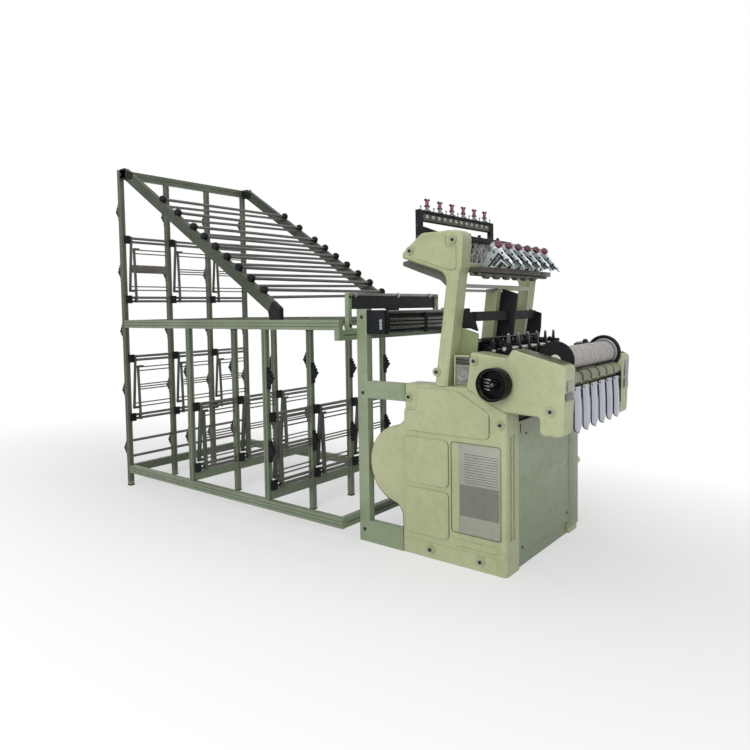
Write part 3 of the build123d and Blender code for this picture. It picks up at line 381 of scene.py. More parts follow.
def screws(name, points, radius, height, finish="darkScrew", body="root", sides=6, washer=1.5):
    onPoints(name, "screws", points, finish, {
        "Head Radius": radius / 1000, "Head Height": 2 * height / 1000, "Head Sides": sides,
        "Washer Radius": radius * washer / 1000, "Washer Height": 0.003}, body)


# directions on the machine
toNear = (-1, 0, 0)
toFar = (1, 0, 0)
toFront = (0, -1, 0)
toRear = (0, 1, 0)
upward = (0, 0, 1)


# a shape is a pair of points and faces in machine millimetres
def boxShape(x0, x1, y0, y1, z0, z1):
    points = [(x, y, z) for z in (z0, z1) for y in (y0, y1) for x in (x0, x1)]
    return points, [(0, 2, 3, 1), (4, 5, 7, 6), (0, 1, 5, 4), (2, 6, 7, 3), (0, 4, 6, 2), (1, 3, 7, 5)]


def boxes(*rows):
    return [boxShape(*row) for row in rows]


def slab(outline, low, high):
    # pushes a flat outline of (y, z) points along x
    points = [(x, y, z) for x in (low, high) for y, z in outline]
    count = len(outline)
    faces = [tuple(range(count))[::-1], tuple(range(count, 2 * count))]
    faces += [(i, (i + 1) % count, count + (i + 1) % count, count + i) for i in range(count)]
    return points, faces


def lathe(profile, centre, axis, segments=32):
    # turns (distance along, radius) points round an axis through the centre
    along = Vector(axis).normalized()
    side = along.orthogonal().normalized()
    other = along.cross(side)
    count = len(profile)
    points = []
    faces = []
    for i in range(segments):
        turn = 2 * math.pi * i / segments
        out = side * math.cos(turn) + other * math.sin(turn)
        points += [tuple(Vector(centre) + along * d + out * r) for d, r in profile]
        a = i * count
        b = ((i + 1) % segments) * count
        for j in range(count):
            k = (j + 1) % count
            onAxis = (profile[j][1] == 0, profile[k][1] == 0)
            if onAxis == (False, False):
                faces.append((a + j, b + j, b + k, a + k))
            elif onAxis == (True, False):
                faces.append((a + j, b + k, a + k))
            elif onAxis == (False, True):
                faces.append((a + j, b + j, a + k))
    return points, faces


def collar(low, high, inner, outer, centre, axis, segments):
    # a straight collar between two distances along an axis, or a full disc where inner is 0
    return lathe([(low, inner), (low, outer), (high, outer), (high, inner)], centre, axis, segments)


def turnShape(shape, centre, axis, degrees):
    spin = Matrix.Rotation(math.radians(degrees), 3, Vector(axis))
    points = [tuple(spin @ (Vector(p) - Vector(centre)) + Vector(centre)) for p in shape[0]]
    return points, shape[1]


def solidPiece(name, shapes, finish, body="root", bevel=0.8, replaces=(), sharpAngle=32.0):
    # joins shapes to one mesh with slightly rounded edges
    work = bmesh.new()
    for points, faces in shapes:
        corners = [work.verts.new(toFrame(p)) for p in points]
        for face in faces:
            work.faces.new([corners[i] for i in face])
    loose = [v for v in work.verts if not v.link_faces]
    bmesh.ops.delete(work, geom=loose, context="VERTS")
    bmesh.ops.remove_doubles(work, verts=work.verts, dist=1e-6)
    bmesh.ops.recalc_face_normals(work, faces=work.faces)
    if bevel:
        edges = [e for e in work.edges if len(e.link_faces) == 2 and e.calc_face_angle(0) > math.radians(28)]
        bmesh.ops.bevel(work, geom=edges, offset=bevel / 1000, segments=2, profile=0.5, affect="EDGES",
                        clamp_overlap=True)
    mesh = bpy.data.meshes.new(name)
    work.to_mesh(mesh)
    work.free()
    mesh.materials.append(materials[finish])
    finishPiece(name, mesh, body, replaces, sharpAngle)


# which finish each CAD node gets
nodeFinish = {
    "creelGreen": ["creel_middle_posts", "creel_front_posts", "creel_middle_beams", "creel_front_beams"],
    "shadedRearGreen": ["creel_rear_posts", "creel_rear_beams"],
    "litRailGreen": ["creel_near_rails", "creel_far_rails", "creel_end_beams"],
    "shadedSlopeGreen": ["creel_slope_rails"],
    "supportGreen": ["support_posts", "link_beams", "rack_posts"],
    "guardGreen": ["guard_plate"],
    "castingPaint": ["near_side_frame", "far_side_frame", "near_housing", "far_housing", "near_arm", "far_arm",
                     "centre_column", "bed"],
    "sheetPaint": ["front_panel", "rear_panel", "base_ties"],
    "barBrown": ["feeder_bar"],
    "blackSteel": ["creel_black_brackets", "rod_clamps", "tension_rail", "harness_bars", "chute_rail",
                   "rack_brackets", "take_up_flanges", "guide_plates", "weaving_heads", "weft_pedestals"],
    "trayGrey": ["rack_tray"],
    "dullSteel": ["cross_bar", "press_shaft"],
    "rimSteel": ["rack_tubes", "weft_arms"],
    "brightSteel": ["weft_shaft"],
    "rollerWrap": ["take_up_roller"],
    "oliveRubber": ["press_rollers"],
}
for finish, names in nodeFinish.items():
    for name in names:
        nodes[name].data.materials.clear()
        nodes[name].data.materials.append(materials[finish])
print("stage: CAD nodes finished")

# places that the source also uses
loomMiddle = 16.0
nearX = -389.0  # outer faces of the side frames
farX = 421.0
railX = 507.0  # middle line, inner and outer face of the creel's rails
railIn = 492.0
railOut = 522.0
halfPost = 15.0
postFronts = (519.0, 1184.0, 1870.0)
pitch = 98.0
betweenSides = (-284, 316)
headX = [loomMiddle + (i - 2.5) * pitch for i in range(6)]
columnX = [-railX + i * 2 * railX / 3 for i in range(4)]
bays = list(zip(columnX, columnX[1:]))
tubeStations = [534.0 + pitch * i for i in range(7)] + [1270.0, 1418.0]
slope = {"footY": 492.0, "footZ": 1145.0, "rearY": 1870.0, "rise": 895.0, "depth": 62.0, "top": 2074.0}
slopeTan = slope["rise"] / (slope["rearY"] - slope["footY"])
slopeHeight = slope["depth"] / math.cos(math.atan(slopeTan))


def slopeTop(y):
    return slope["footZ"] + (y - slope["footY"]) * slopeTan + slopeHeight


creelTubes = {"ball": 24.0, "tube": 9.0, "lowerTube": 8.0, "rise": 13.0, "dropNear": 40.0, "dropFar": 24.0}


def makeCreelTubes():
    s = creelTubes
    r = s["ball"]
    turns = [math.pi * i / 12 for i in range(1, 12)]
    profile = [(-r, 0.0)] + [(-r * math.cos(t), r * math.sin(t)) for t in turns] + [(r, 0.0)]
    upper = []
    lower = []
    balls = []
    for y in tubeStations:
        z = slopeTop(y) + s["rise"]
        upper.append([(-railX + 20, y, z), (railX - 20, y, z)])
        lower.append([(-railIn, y, z - s["dropNear"]), (railIn, y, z - s["dropFar"])])
        balls += [lathe(profile, (x, y, z), toFar, 24) for x in (-railX, railX)]
    roundBars("guideTubes", upper, s["tube"], "tubeSteel", replaces=["guide_tubes"])
    roundBars("lowerGuideTubes", lower, s["lowerTube"], "tubeSteel", replaces=["lower_guide_tubes"])
    solidPiece("tubeBalls", balls, "blackPlastic", bevel=0, replaces=["guide_tube_balls"])


# a unit is its post's front, the height of its lower rods and how far up its upper ones are
brakes = {"units": [(1870.0, 456.0, 390.0), (1870.0, 1236.0, 390.0), (1184.0, 215.0, 367.0),
                    (519.0, 215.0, 367.0)],
          "rod": 8.6, "wire": 4.2, "wireSpacing": 24.0, "lever": 335.0, "rearWidth": 13.0, "frontWidth": 22.0,
          "lowRod": 9.0, "lowY": 1885.0, "lowHeights": (194.0, 297.0), "bandHeights": (1412, 1464)}


def makeBrakes():
    # rods, wires and levers of each unit in each bay of the creel
    s = brakes
    rods, wires, pivots, levers = [], [], [], []
    for front, low, height in s["units"]:
        high = low + height
        wide = s["rearWidth"] if front == slope["rearY"] else s["frontWidth"]
        for x, nextX in bays:
            left = x + halfPost
            right = nextX - halfPost
            rods += [[(left, front + 6.3, z + dz), (right, front + 6.3, z + dz)] for z in (low, high)
                     for dz in (-12.0, 12.0)]
            hanging = left + 31.0
            rising = left + 57.0
            end = s["lever"] - 7.0
            ends = [(hanging, 23.0, high - end + s["wireSpacing"] * i) for i in range(2)]
            ends += [(rising, 5.0, low + end - s["wireSpacing"] * i) for i in range(2)]
            ends += [(rising, 4.0, low + height / 2 + (i - 1) * 16.0) for i in range(3)]
            wires += [[(a, front + y, z), (right, front + y, z)] for a, y, z in ends]
            for start, pivot, lean, way in ((left + 25.0, high, 30.0, -1), (left + 51.0, low, 12.0, 1)):
                side = [(-14, -22), (0, -22), (0, 22), (lean, s["lever"]), (lean - 14, s["lever"]), (-14, 22)]
                levers.append(slab([(front + y, pivot + way * z) for y, z in side], start, start + wide))
                top = pivot + way * s["lever"]
                levers += boxes((start, start + 46, front + lean - 12, front + lean - 3, top - 5, top + 5))
                pivots.append(((start, front - 7.0, pivot), toNear))
    low = [[(x + halfPost, s["lowY"], z), (nextX - halfPost, s["lowY"], z)] for x, nextX in bays
           for z in s["lowHeights"]]
    roundBars("brakeRods", rods, s["rod"], "tubeSteel", sides=14)
    roundBars("lowBars", low, s["lowRod"], "tubeSteel", replaces=["beam_rods"])
    roundBars("brakeWires", wires, s["wire"], "tubeSteel", sides=10, replaces=["tension_wires"])
    solidPiece("brakeLevers", levers, "leverGrey", replaces=["brake_levers"])
    band = boxes((columnX[0] + 52, columnX[1] - 16, 1868, 1873, *s["bandHeights"]))
    solidPiece("brakeBand", band, "tubeSteel", bevel=0.6)
    screws("brakePivots", pivots, 6.0, 2.0)


beamHolders = {"outline": [(0, 54), (9, 54), (13, 46), (8, 41), (18, 39), (22, 29), (16, 24), (28, 22),
                           (32, 11), (25, 6), (38, 4), (40, -6), (30, -16), (20, -34), (12, -38), (12, -62),
                           (0, -62)],
               "half": 10.0, "rear": [251.0 + 390.0 * i for i in range(5)], "front": [405.0, 795.0]}


def makeBeamHolders():
    # toothed seats for the warp beams, with a bolt through each
    s = beamHolders
    seats = []
    bolts = []
    for face, way, heights in ((1900.0, 1, s["rear"]), (1214.0, 1, s["front"]), (519.0, -1, s["front"])):
        for x in columnX:
            for z in heights:
                outline = [(face + way * out, z + up) for out, up in s["outline"]]
                seats.append(slab(outline, x - s["half"], x + s["half"]))
                bolts.append(((x - s["half"], face + way * 7, z + 4), toNear))
    solidPiece("beamHolders", seats, "blackSteel", replaces=["beam_brackets"])
    screws("holderBolts", bolts, 4.5, 1.8)


feet = {"reach": 17.0, "pad": 7.0, "height": 30.0}


def makeFeet():
    # short green ends of the posts on thin rubber pads
    s = feet
    stubs = []
    pads = []
    for front in reversed(postFronts):
        for x in columnX:
            if abs(x) > 500 and front < slope["rearY"]:
                continue
            y = front + halfPost
            stubs += boxes((x - halfPost, x + halfPost, y - halfPost, y + halfPost, s["pad"], s["height"]))
            pads += boxes((x - s["reach"], x + s["reach"], y - s["reach"], y + s["reach"], 0, s["pad"]))
    solidPiece("postEnds", stubs, "creelGreen", bevel=1.0)
    solidPiece("postPads", pads, "footRubber", bevel=1.5, replaces=["creel_feet"])


cornerPlates = {"near": [(1866, 2067), (1790, 2062), (1706, 2030), (1736, 1996), (1800, 1998), (1866, 2008)],
                "far": [(1862, 2068), (1800, 2058), (1752, 2036), (1788, 1998), (1862, 2010)], "thick": 4.0,
                "nearBolts": [(1846, 2040), (1780, 2030), (1742, 2016)],
                "farBolts": [(1842, 2040), (1785, 2030)], "capLow": 1030, "capHigh": 1049}


def makeCornerPlates():
    # black plates on the creel's top corners and black joints under the table rails
    s = cornerPlates
    near = -railOut - s["thick"]
    far = railIn - s["thick"]
    shapes = [slab(s["near"], near, 0.5 - railOut), slab(s["far"], far, railIn + 0.5)]
    for front in postFronts[:2]:
        shapes += boxes(*((x - 17, x + 17, front - 2.5, front + 32.5, s["capLow"], s["capHigh"])
                          for x in columnX[1:]))
    solidPiece("creelJoints", shapes, "blackSteel", bevel=1.0)
    heads = [((x, y, z), toNear) for x, key in ((near, "nearBolts"), (far, "farBolts")) for y, z in s[key]]
    screws("creelJointBolts", heads, 6.0, 2.4)


grooves = {"half": 3.0, "proud": 0.4, "low": 88.0, "table": 1050.0, "rows": (17, 34),
           "slopeShares": (0.36, 0.66),
           "posts": [(519.0, 138.0, 1050.0), (1184.0, 138.0, 1050.0), (1870.0, 30.0, 2024.0)],
           "beams": [(0.0, 88.0), (0.0, 1000.0), (519.0, 1050.0), (1184.0, 1050.0), (1870.0, 1050.0),
                     (1870.0, 2024.0)]}


def makeGrooves():
    # dark strips along the outer face of each rail and post stand for its slot, coloured with painted shade of
    # the slot's depth
    s = grooves
    proud, half = s["proud"], s["half"]
    strips = []
    for side in (-1, 1):
        for face, out in ((side * railOut, side), (side * railIn, -side)):
            a, b = sorted((face + out * proud, face - out))
            strips += boxes(*((a, b, 0, 1870, z - 1.6, z + 1.6) for level in (s["low"], s["table"])
                              for z in (level + s["rows"][0], level + s["rows"][1])))
            for share in s["slopeShares"]:
                drop = slopeHeight * share
                over = max(0.0, slopeTop(slope["rearY"]) - drop + 8 - slope["top"])
                reach = (slope["footY"], slope["rearY"] - over / slopeTan)
                low, high = ([(y, slopeTop(y) - drop + up) for y in reach] for up in (0, 3.4))
                strips.append(slab(low + high[::-1], a, b))
    for front, low, high in s["posts"]:
        y = front + halfPost
        for x in columnX:
            strips += boxes((x - half, x + half, front - proud, front + 1, low, high),
                            (x - halfPost - proud, x - 14, y - half, y + half, low, high))
    for y, z in s["beams"]:
        strips += boxes((-490, 490, y - proud, y + 1, z + 25 - half, z + 25 + half))
    solidPiece("creelGrooveShade", strips, "grooveShadeGreen", bevel=0)


makeCreelTubes()
makeBrakes()
makeBeamHolders()
makeFeet()
makeCornerPlates()
makeGrooves()
print("stage: creel made")


handwheel = {"centre": (-459.0, -766.0, 828.0), "radius": 70.0, "width": 62.0, "rim": 8.0, "hub": 19.0,
             "web": 40.0, "slots": 4}


def makeHandwheel():
    s = handwheel
    centre = s["centre"]
    x, y, z = centre
    r, w, web, hub = s["radius"], s["width"], s["web"], s["hub"]
    inner = r - s["rim"]
    profile = [(3, inner), (0, inner + 2), (0, r - 3), (3, r), (14, r), (17, r - 2.5), (21, r - 2.5), (24, r),
               (w - 4, r), (w, r - 4), (w, 16), (w + 9, 14), (w + 9, 0), (14, 0), (14, 11), (18, hub - 3),
               (23, hub), (web - 4, hub + 2), (web, hub + 6), (web, inner - 6), (web - 6, inner - 1)]
    solidPiece("handwheelBody", [lathe(profile, centre, toFar, 64)], "wheelBlack", "handwheel", bevel=0,
               replaces=["handwheel"], sharpAngle=28)
    rings = [collar(d, d + 5, inner - 1.2, inner + 1, centre, toFar, 64) for d in (8, 22)]
    rings.append(lathe([(12, 0), (12, 8), (14.5, 9), (14.5, 0)], centre, toFar, 24))
    rings += [collar(d, d + 2, 18, hub + 1, centre, toFar, 40) for d in (26, 32)]
    solidPiece("handwheelRings", rings, "rimSteel", "handwheel", bevel=0.3)
    marks = []
    for i in range(s["slots"]):
        middle = z + 14 - 14 * i
        mark = boxShape(x + web - 2.5, x + web + 1, y + 19, y + 56 - 3 * i, middle - 2.8, middle + 2.8)
        marks.append(turnShape(mark, (0, y, z), toFar, 8))
    solidPiece("handwheelSlots", marks, "dullSteel", "handwheel", bevel=0.3)


bosses = {"places": [(-308, 739), (-418, 42), (-677, 45), (-776, 653), (-652, 919), (-996, 729), (-324, 1411),
                     (-552, 1445), (-463, 863)], "proud": 5.0, "ring": 0.0180, "ringWire": 0.0019}


def makeBossScrews():
    # a washer, a dark socket screw and a raised ring on each boss
    s = bosses
    ends = [((x, y, z), way) for x, way in ((nearX - s["proud"], toNear), (farX + s["proud"], toFar))
            for y, z in s["places"]]
    onPoints("bossWashers", "screws", ends, "dullSteel", {
        "Head Radius": 0.0105, "Head Height": 0.003, "Head Sides": 24, "Washer Radius": 0.0115,
        "Washer Height": 0.001})
    screws("bossScrews", ends, 6.4, 3.2, "blackPlastic", washer=1.1)
    onPoints("bossRims", "eyelets", ends, "castingPaint", {
        "Ring Radius": s["ring"], "Wire Radius": s["ringWire"]})


# outlines are (y, z) corners; a belly arc is its centre, radius and first and last angle
panels = {
    "low": [(-287, 110), (-515, 110), (-515, 318), (-287, 318)],
    "middle": [(-287, 346), (-515, 346), (-515, 554), (-287, 554)],
    "top": [(-287, 587), (-719, 587), (-719, 696), (-561, 783), (-360, 783), (-360, 687), (-287, 687)],
    "head": [(-355, 1379), (-355, 1402), (-388, 1464), (-512, 1464), (-512, 1421), (-565, 1421), (-565, 1319),
             (-530, 1319)],
    "plate": [(-532, 151), (-777, 151), (-777, 557), (-532, 557)],
    "belly": [(-199.0, 163.9, 65.0, 180.0, 104.3), (-262.0, 411.0, 190.0, -75.7, -4.0)],
    "bead": 3.6, "out": 4.2, "corner": 22.0, "headCorner": 12.0, "plateCorner": 14.0}


def roundedLoop(outline, corner, x):
    # a closed line round (y, z) corners, each one rounded
    line = []
    for i, point in enumerate(outline):
        here = Vector(point)
        before = Vector(outline[i - 1]) - here
        after = Vector(outline[(i + 1) % len(outline)]) - here
        a, b = (here + way.normalized() * min(corner, way.length * 0.45) for way in (before, after))
        for t in (j / 6 for j in range(7)):
            p = a * (1 - t) ** 2 + here * (2 * t * (1 - t)) + b * t ** 2
            line.append((x, p.x, p.y))
    return line + line[:1]


def makePanelBeads():
    # the soft raised rim of every panel, on both sides of the loom, dark lines of painted shade round the
    # panels and the side plate, and a black band of painted shade along the belly's edge
    s = panels
    beads = []
    slots = []
    for x, out in ((nearX, -1), (farX, 1)):
        for name in ("low", "middle", "top", "head"):
            corner = s["headCorner"] if name == "head" else s["corner"]
            beads.append(roundedLoop(s[name], corner, x + out * s["out"]))
            if name != "head":
                wider = [(y + (5 if y > -420 else -5), z) for y, z in s[name]]
                slots.append(roundedLoop(wider, corner, x - out * 0.4))
        slots.append(roundedLoop(s["plate"], s["plateCorner"], x - out * 0.6))
    roundBars("panelBeads", beads, s["bead"], "castingPaint", sides=12)
    # thin dark lines of painted shade round the panels and the plate
    roundBars("panelShadeLines", slots, 1.5, "shadeBrown", sides=8)
    # a black band of painted shade behind the belly's lower edge
    edge = [(-264, 80), (-264, 120)]
    for y, z, radius, start, end in s["belly"]:
        turns = [math.radians(start + (end - start) * i / 14) for i in range(15)]
        edge += [(y + radius * math.cos(t), z + radius * math.sin(t)) for t in turns]
    both = [[(x, y, z) for y, z in edge] for x in (nearX + 9, farX - 9)]
    roundBars("bellyShadeEdge", both, 3.4, "blackSteel", sides=10)


headPlate = {"outline": [(-224, 1371), (-224, 1352), (-321, 1316), (-431, 1277), (-463, 1248), (-462, 1185),
                         (-506, 1185), (-526, 1290), (-500, 1318), (-300, 1384)], "near": -306.0, "far": -298.0}


def makeHeadShadePlate():
    # a plate inside the near arm, seen below its head, in dark brown as painted shade of the head's underside
    s = headPlate
    solidPiece("headShadePlate", [slab(s["outline"], s["near"], s["far"])], "brownSteel", bevel=1.5)


namePlate = {"face": -386.0, "front": -772.0, "rear": -570.0, "bottom": 154.0, "top": 552.0, "thick": 1.6,
             "tableLow": 232.0, "tableHigh": 372.0, "lineTop": 506.0, "rows": 11, "columns": 17}


def makeNamePlate():
    # a bare plate with ruled lines and a shaded grid, no lettering
    s = namePlate
    front, rear, low, high = s["front"], s["rear"], s["tableLow"], s["tableHigh"]
    face = s["face"] - s["thick"]
    whole = boxes((face, s["face"] + 0.5, front, rear, s["bottom"], s["top"]))
    solidPiece("sidePlate", whole, "greyPlate", bevel=0.5)
    table = boxes((face - 0.2, face + 0.2, front + 4, rear - 4, low, high))
    solidPiece("plateTable", table, "shadedPlate", bevel=0)
    step = (s["lineTop"] - high - 10) / s["rows"]
    rules = [[(face, y, high + 12 + i * step) for y in (front + 8, rear - 30)] for i in range(s["rows"] + 1)]
    apart = (rear - front - 28) / (s["columns"] - 1)
    columns = [[(face - 0.1, front + 14 + i * apart, z) for z in (low + 4, high - 4)]
               for i in range(s["columns"])]
    roundBars("plateRules", rules, 0.9, "darkScrew", sides=6)
    roundBars("plateColumns", columns, 0.7, "leverGrey", sides=6)
    corners = [((face, y, z), toNear) for y in (front + 6, rear - 6) for z in (s["bottom"] + 7, s["top"] - 7)]
    screws("plateScrews", corners, 3.2, 0.8, "brightSteel", sides=10, washer=1.2)


# bare label plates on the housings' noses: name, finish and boxes of x and z
patches = {"face": -1057.0, "thick": 0.3, "plates": [
    ("nosePatchLight", "greyPlate", [(-363, -311, 811, 852)]),
    ("nosePatchDark", "patchGrey", [(-382, -305, 774, 803)]),
    ("farPatches", "patchBlue", [(348, 400, 806, 884), (348, 400, 752, 798)])]}


def makePatches():
    front = patches["face"] - patches["thick"]
    rear = patches["face"] + 0.5
    for name, finish, places in patches["plates"]:
        plates = boxes(*((x0, x1, front, rear, z0, z1) for x0, x1, z0, z1 in places))
        solidPiece(name, plates, finish, bevel=0.2)


window = {"face": -362.0, "front": -616.0, "rear": -545.0, "bottom": 802.0, "middle": 896.0, "top": 933.0,
          "rim": 7.0, "wheel": (-368, -583, 855)}


def makeWindow():
    # the framed opening between the arm's foot and the housing, with a drive wheel inside
    s = window
    x, front, rear, low, middle, top = (s[key] for key in ("face", "front", "rear", "bottom", "middle", "top"))
    rims = boxes((x - 4, x + 8, rear, rear + s["rim"], 799, top), (x - 4, x + 8, front, rear, 799, low + 2),
                 (x - 4, x + 8, front, rear + s["rim"], top, top + s["rim"]))
    solidPiece("windowFrame", rims, "castingPaint", bevel=1.5)
    solidPiece("windowTop", boxes((x + 4, x + 10, front, rear, middle, top)), "brownSteel", bevel=0.6)
    lower = boxes((x + 4, x + 10, front, rear, low, middle), (x - 2, x + 6, front, rear, middle - 8, middle),
                  (x - 2, x + 6, front, rear, low + 8, low + 14))
    solidPiece("windowLower", lower, "windowGrey")
    wheel = [(0, 0), (0, 9), (3, 10), (3, 22), (0, 24), (0, 29), (10, 29), (10, 0)]
    solidPiece("windowWheel", [lathe(wheel, s["wheel"], toFar, 36)], "dullSteel", bevel=0.5)
    rods = [[(x + 1, front, z), (x + 1, rear, z + 3)] for z in (905, 918)]
    roundBars("windowRods", rods, 3.0, "darkScrew", sides=10)


# parts of each roller flange: name, finish, bevel, segments and profile from the flange's outer face inwards
takeUp = {"y": -970.0, "z": 926.0, "near": -279.0, "far": 311.0, "parts": [
    ("flangeHubs", "creamPlastic", 0.4, 40, [(-4.2, 13), (-4.2, 22), (-2, 24), (0.5, 24), (0.5, 13)]),
    ("flangeFaces", "dullSteel", 0.4, 64, [(6.5, 51), (6.5, 66), (10, 64), (10, 53)]),
    ("flangeRims", "blackPlastic", 0, 72, [(-0.6, 66), (-0.6, 79), (0.6, 80.4), (6.4, 80.4), (7.8, 79), (9, 74),
                                           (7.4, 70)])]}


def makeTakeUp():
    s = takeUp
    for name, finish, bevel, segments, profile in s["parts"]:
        shapes = [lathe(profile, (x, s["y"], s["z"]), way, segments) for x, way in ((s["near"], toFar),
                                                                                    (s["far"], toNear))]
        solidPiece(name, shapes, finish, "take_up", bevel=bevel)


latch = {"y": -890.0, "near": 168.0, "far": 326.0, "top": 972.0, "foot": 912.0, "guardY": -1012.0,
         "guardZ": 885.0, "guard": 3.5, "pin": [(-14, 0), (-14, 8), (-8, 11), (8, 11), (14, 8), (14, 0)]}


def makeLatch():
    # the dark catch behind the roller and the thin guard rod under it
    s = latch
    y, near, far, top = s["y"], s["near"], s["far"], s["top"]
    shapes = boxes((near, far, y, y + 16, top - 14, top), (near + 24, near + 60, y + 2, y + 16, s["foot"], top),
                   (far - 40, far - 12, y + 2, y + 16, s["foot"], top))
    shapes.append(lathe(s["pin"], (far - 26, y + 8, top + 4), toFar, 20))
    solidPiece("rollerCatch", shapes, "blackPlastic", bevel=2.0)
    guard = [[(x, s["guardY"], s["guardZ"]) for x in betweenSides]]
    roundBars("rollerGuard", guard, s["guard"], "blackSteel", sides=14)


press = {"y": -1021.0, "z": 850.0, "collar": [(-8, 8.4), (-8, 17), (-6, 19), (6, 19), (8, 17), (8, 8.4)],
         "bead": [(-2, 27), (-2, 28.6), (0, 29.2), (2, 28.6), (2, 27)]}


def makePress():
    # collars with screws between the press rollers, and raised ends on the rollers
    s = press
    between = [x + pitch / 2 for x in headX[:-1]]
    collars = [lathe(s["collar"], (x, s["y"], s["z"]), toFar, 28) for x in between]
    ends = [((x, s["y"] - 17, s["z"] - 14), (0, -0.8, -0.2)) for x in between]
    beads = [lathe(s["bead"], (x + d, s["y"], s["z"]), toFar, 40) for x in headX for d in (-37, 37)]
    solidPiece("pressCollars", collars, "oliveRubber", "press", bevel=0.4)
    screws("pressScrews", ends, 5.2, 3.0, "chuteSteel", "press", sides=12, washer=1.2)
    solidPiece("pressBeads", beads, "oliveRubber", "press", bevel=0)


chute = {"y": -1044.0, "top": 818.0, "length": 196.0, "width": 80.0, "point": 30.0, "bulge": 2.5, "crown": 5.0,
         "thick": 1.4, "across": 10, "down": 18, "back": 5.0, "slant": 5.0}


def chuteGrid(x, reach, shift):
    # rows of points down one blade; shift moves it back and reach widens it
    s = chute
    grid = []
    for j in range(s["down"] + 1):
        t = j / s["down"]
        left = (1 - t) * s["length"]
        half = s["width"] / 2 + reach
        if left < s["point"]:
            half = max(1.5, half * math.sin(0.5 * math.pi * left / s["point"]) ** 0.7)
        y = s["y"] - 4 - (s["bulge"] * math.sin(math.pi * t) + s["slant"] * t) + shift
        z = s["top"] - t * s["length"] * 0.995
        steps = [2 * i / s["across"] - 1 for i in range(s["across"] + 1)]
        grid.append([(x + k * half, y + s["crown"] * k * k, z) for k in steps])
    return grid


def sheetShape(grid, thickness):
    # a grid of points made into a thin closed sheet
    rows = len(grid)
    columns = len(grid[0])
    front = [p for row in grid for p in row]
    back = [(x, y + thickness, z) for x, y, z in front]
    faces = []
    count = len(front)
    for j in range(rows - 1):
        for i in range(columns - 1):
            a = j * columns + i
            faces.append((a, a + 1, a + columns + 1, a + columns))
            faces.append((count + a + columns, count + a + columns + 1, count + a + 1, count + a))
    rim = list(range(columns)) + [j * columns + columns - 1 for j in range(1, rows)]
    rim += [(rows - 1) * columns + i for i in range(columns - 2, -1, -1)]
    rim += [j * columns for j in range(rows - 2, 0, -1)]
    faces += [(a, count + a, count + b, b) for a, b in zip(rim, rim[1:] + rim[:1])]
    return front + back, faces


def makeChutes():
    # bent blades with dark backs that show round their edges as painted shade, dividers between them and two
    # screws each
    s = chute
    blades = [sheetShape(chuteGrid(x, -2.0, 0.0), s["thick"]) for x in headX]
    solidPiece("chuteBlades", blades, "chuteSteel", bevel=0.25, replaces=["tape_chutes"], sharpAngle=50)
    # black backs a little wider than the blades, painted shade along the blades' sides
    backs = [sheetShape(chuteGrid(x, s["back"], s["thick"] + 0.6), 2.0) for x in headX]
    solidPiece("chuteShadeBacks", backs, "blackPlastic", bevel=0, sharpAngle=50)
    dividers = [(x + 38, x + 60, -1040, -1032, 668, 816) for x in headX[:-1]]
    dividers += [(headX[0] - 54, headX[0] - 36, -1040, -1032, 690, 816),
                 (headX[-1] + 36, headX[-1] + 50, -1040, -1032, 690, 816)]
    solidPiece("chuteDividers", boxes(*dividers), "blackSteel", bevel=1.5)
    heads = [((x + d, -1047, 808), toFront) for x in headX for d in (-26, 26)]
    screws("chuteScrews", heads, 3.6, 1.4, "brightSteel", sides=10)


harness = {"y": -430.0, "bottom": 1366.0, "top": 1468.0, "perHead": 16, "spread": 44.0, "coil": 0.0026,
           "coilWire": 0.0008, "turns": 24.0, "strand": 1.5, "strands": 46, "seed": 5, "near": -305, "far": 337,
           "bends": ((12, 1392), (18, 1418), (14, 1444))}


def makeHarness():
    # coils, crossing strands and their lower cover behind each feeder
    s = harness
    y, bottom, top = s["y"], s["bottom"], s["top"]
    chance = random.Random(s["seed"])
    starts, pale, dark = [], [], []
    for x in headX:
        for i in range(s["perHead"]):
            at = x + (i / (s["perHead"] - 1) - 0.5) * 2 * s["spread"]
            starts.append(((at, y + (9.0 if i % 2 else -9.0), bottom), upward))
        for i in range(s["strands"]):
            a = x + chance.uniform(-49, 49)
            b = y + chance.uniform(-26, 26)
            strand = [(a, b, bottom - 6)]
            for sway, z in s["bends"]:
                strand.append((a + chance.uniform(-sway, sway), b + chance.uniform(-8, 8), z))
            strand.append((a + chance.uniform(-10, 10), b, top))
            (dark if i % 4 == 0 else pale).append(strand)
    sizes = {"Coil Radius": s["coil"], "Wire Radius": s["coilWire"], "Height": (top - bottom) / 1000,
             "Turns": s["turns"]}
    onPoints("harnessCoils", "springs", starts, "brightSteel", sizes,
             replaces=["harness_springs"])
    roundBars("harnessPaleStrands", pale, s["strand"], "harnessWhite", sides=6)
    roundBars("harnessDarkStrands", dark, s["strand"], "blackPlastic", sides=6)
    solidPiece("harnessTopBar", boxes((s["near"], s["far"], -472, -448, 1464, 1490)), "blackSteel", bevel=2.0)
    solidPiece("harnessCover", boxes((s["near"], s["far"], -448, -412, 1348, 1368)), "castingPaint", bevel=1.5)
    lumps = boxes(*((x - 16, x + 16, -446, -414, 1484, 1496) for x in headX))
    lumps += [lathe([(0, 0), (0, 9), (14, 7), (14, 0)], (x, y, 1496), upward, 16) for x in headX]
    solidPiece("harnessClamps", lumps, "blackPlastic", bevel=1.5)
    heads = [((x + d, -446, 1476), toFront) for x in headX for d in (-30, 30)]
    screws("harnessScrews", heads, 4.0, 1.6, "brightSteel")


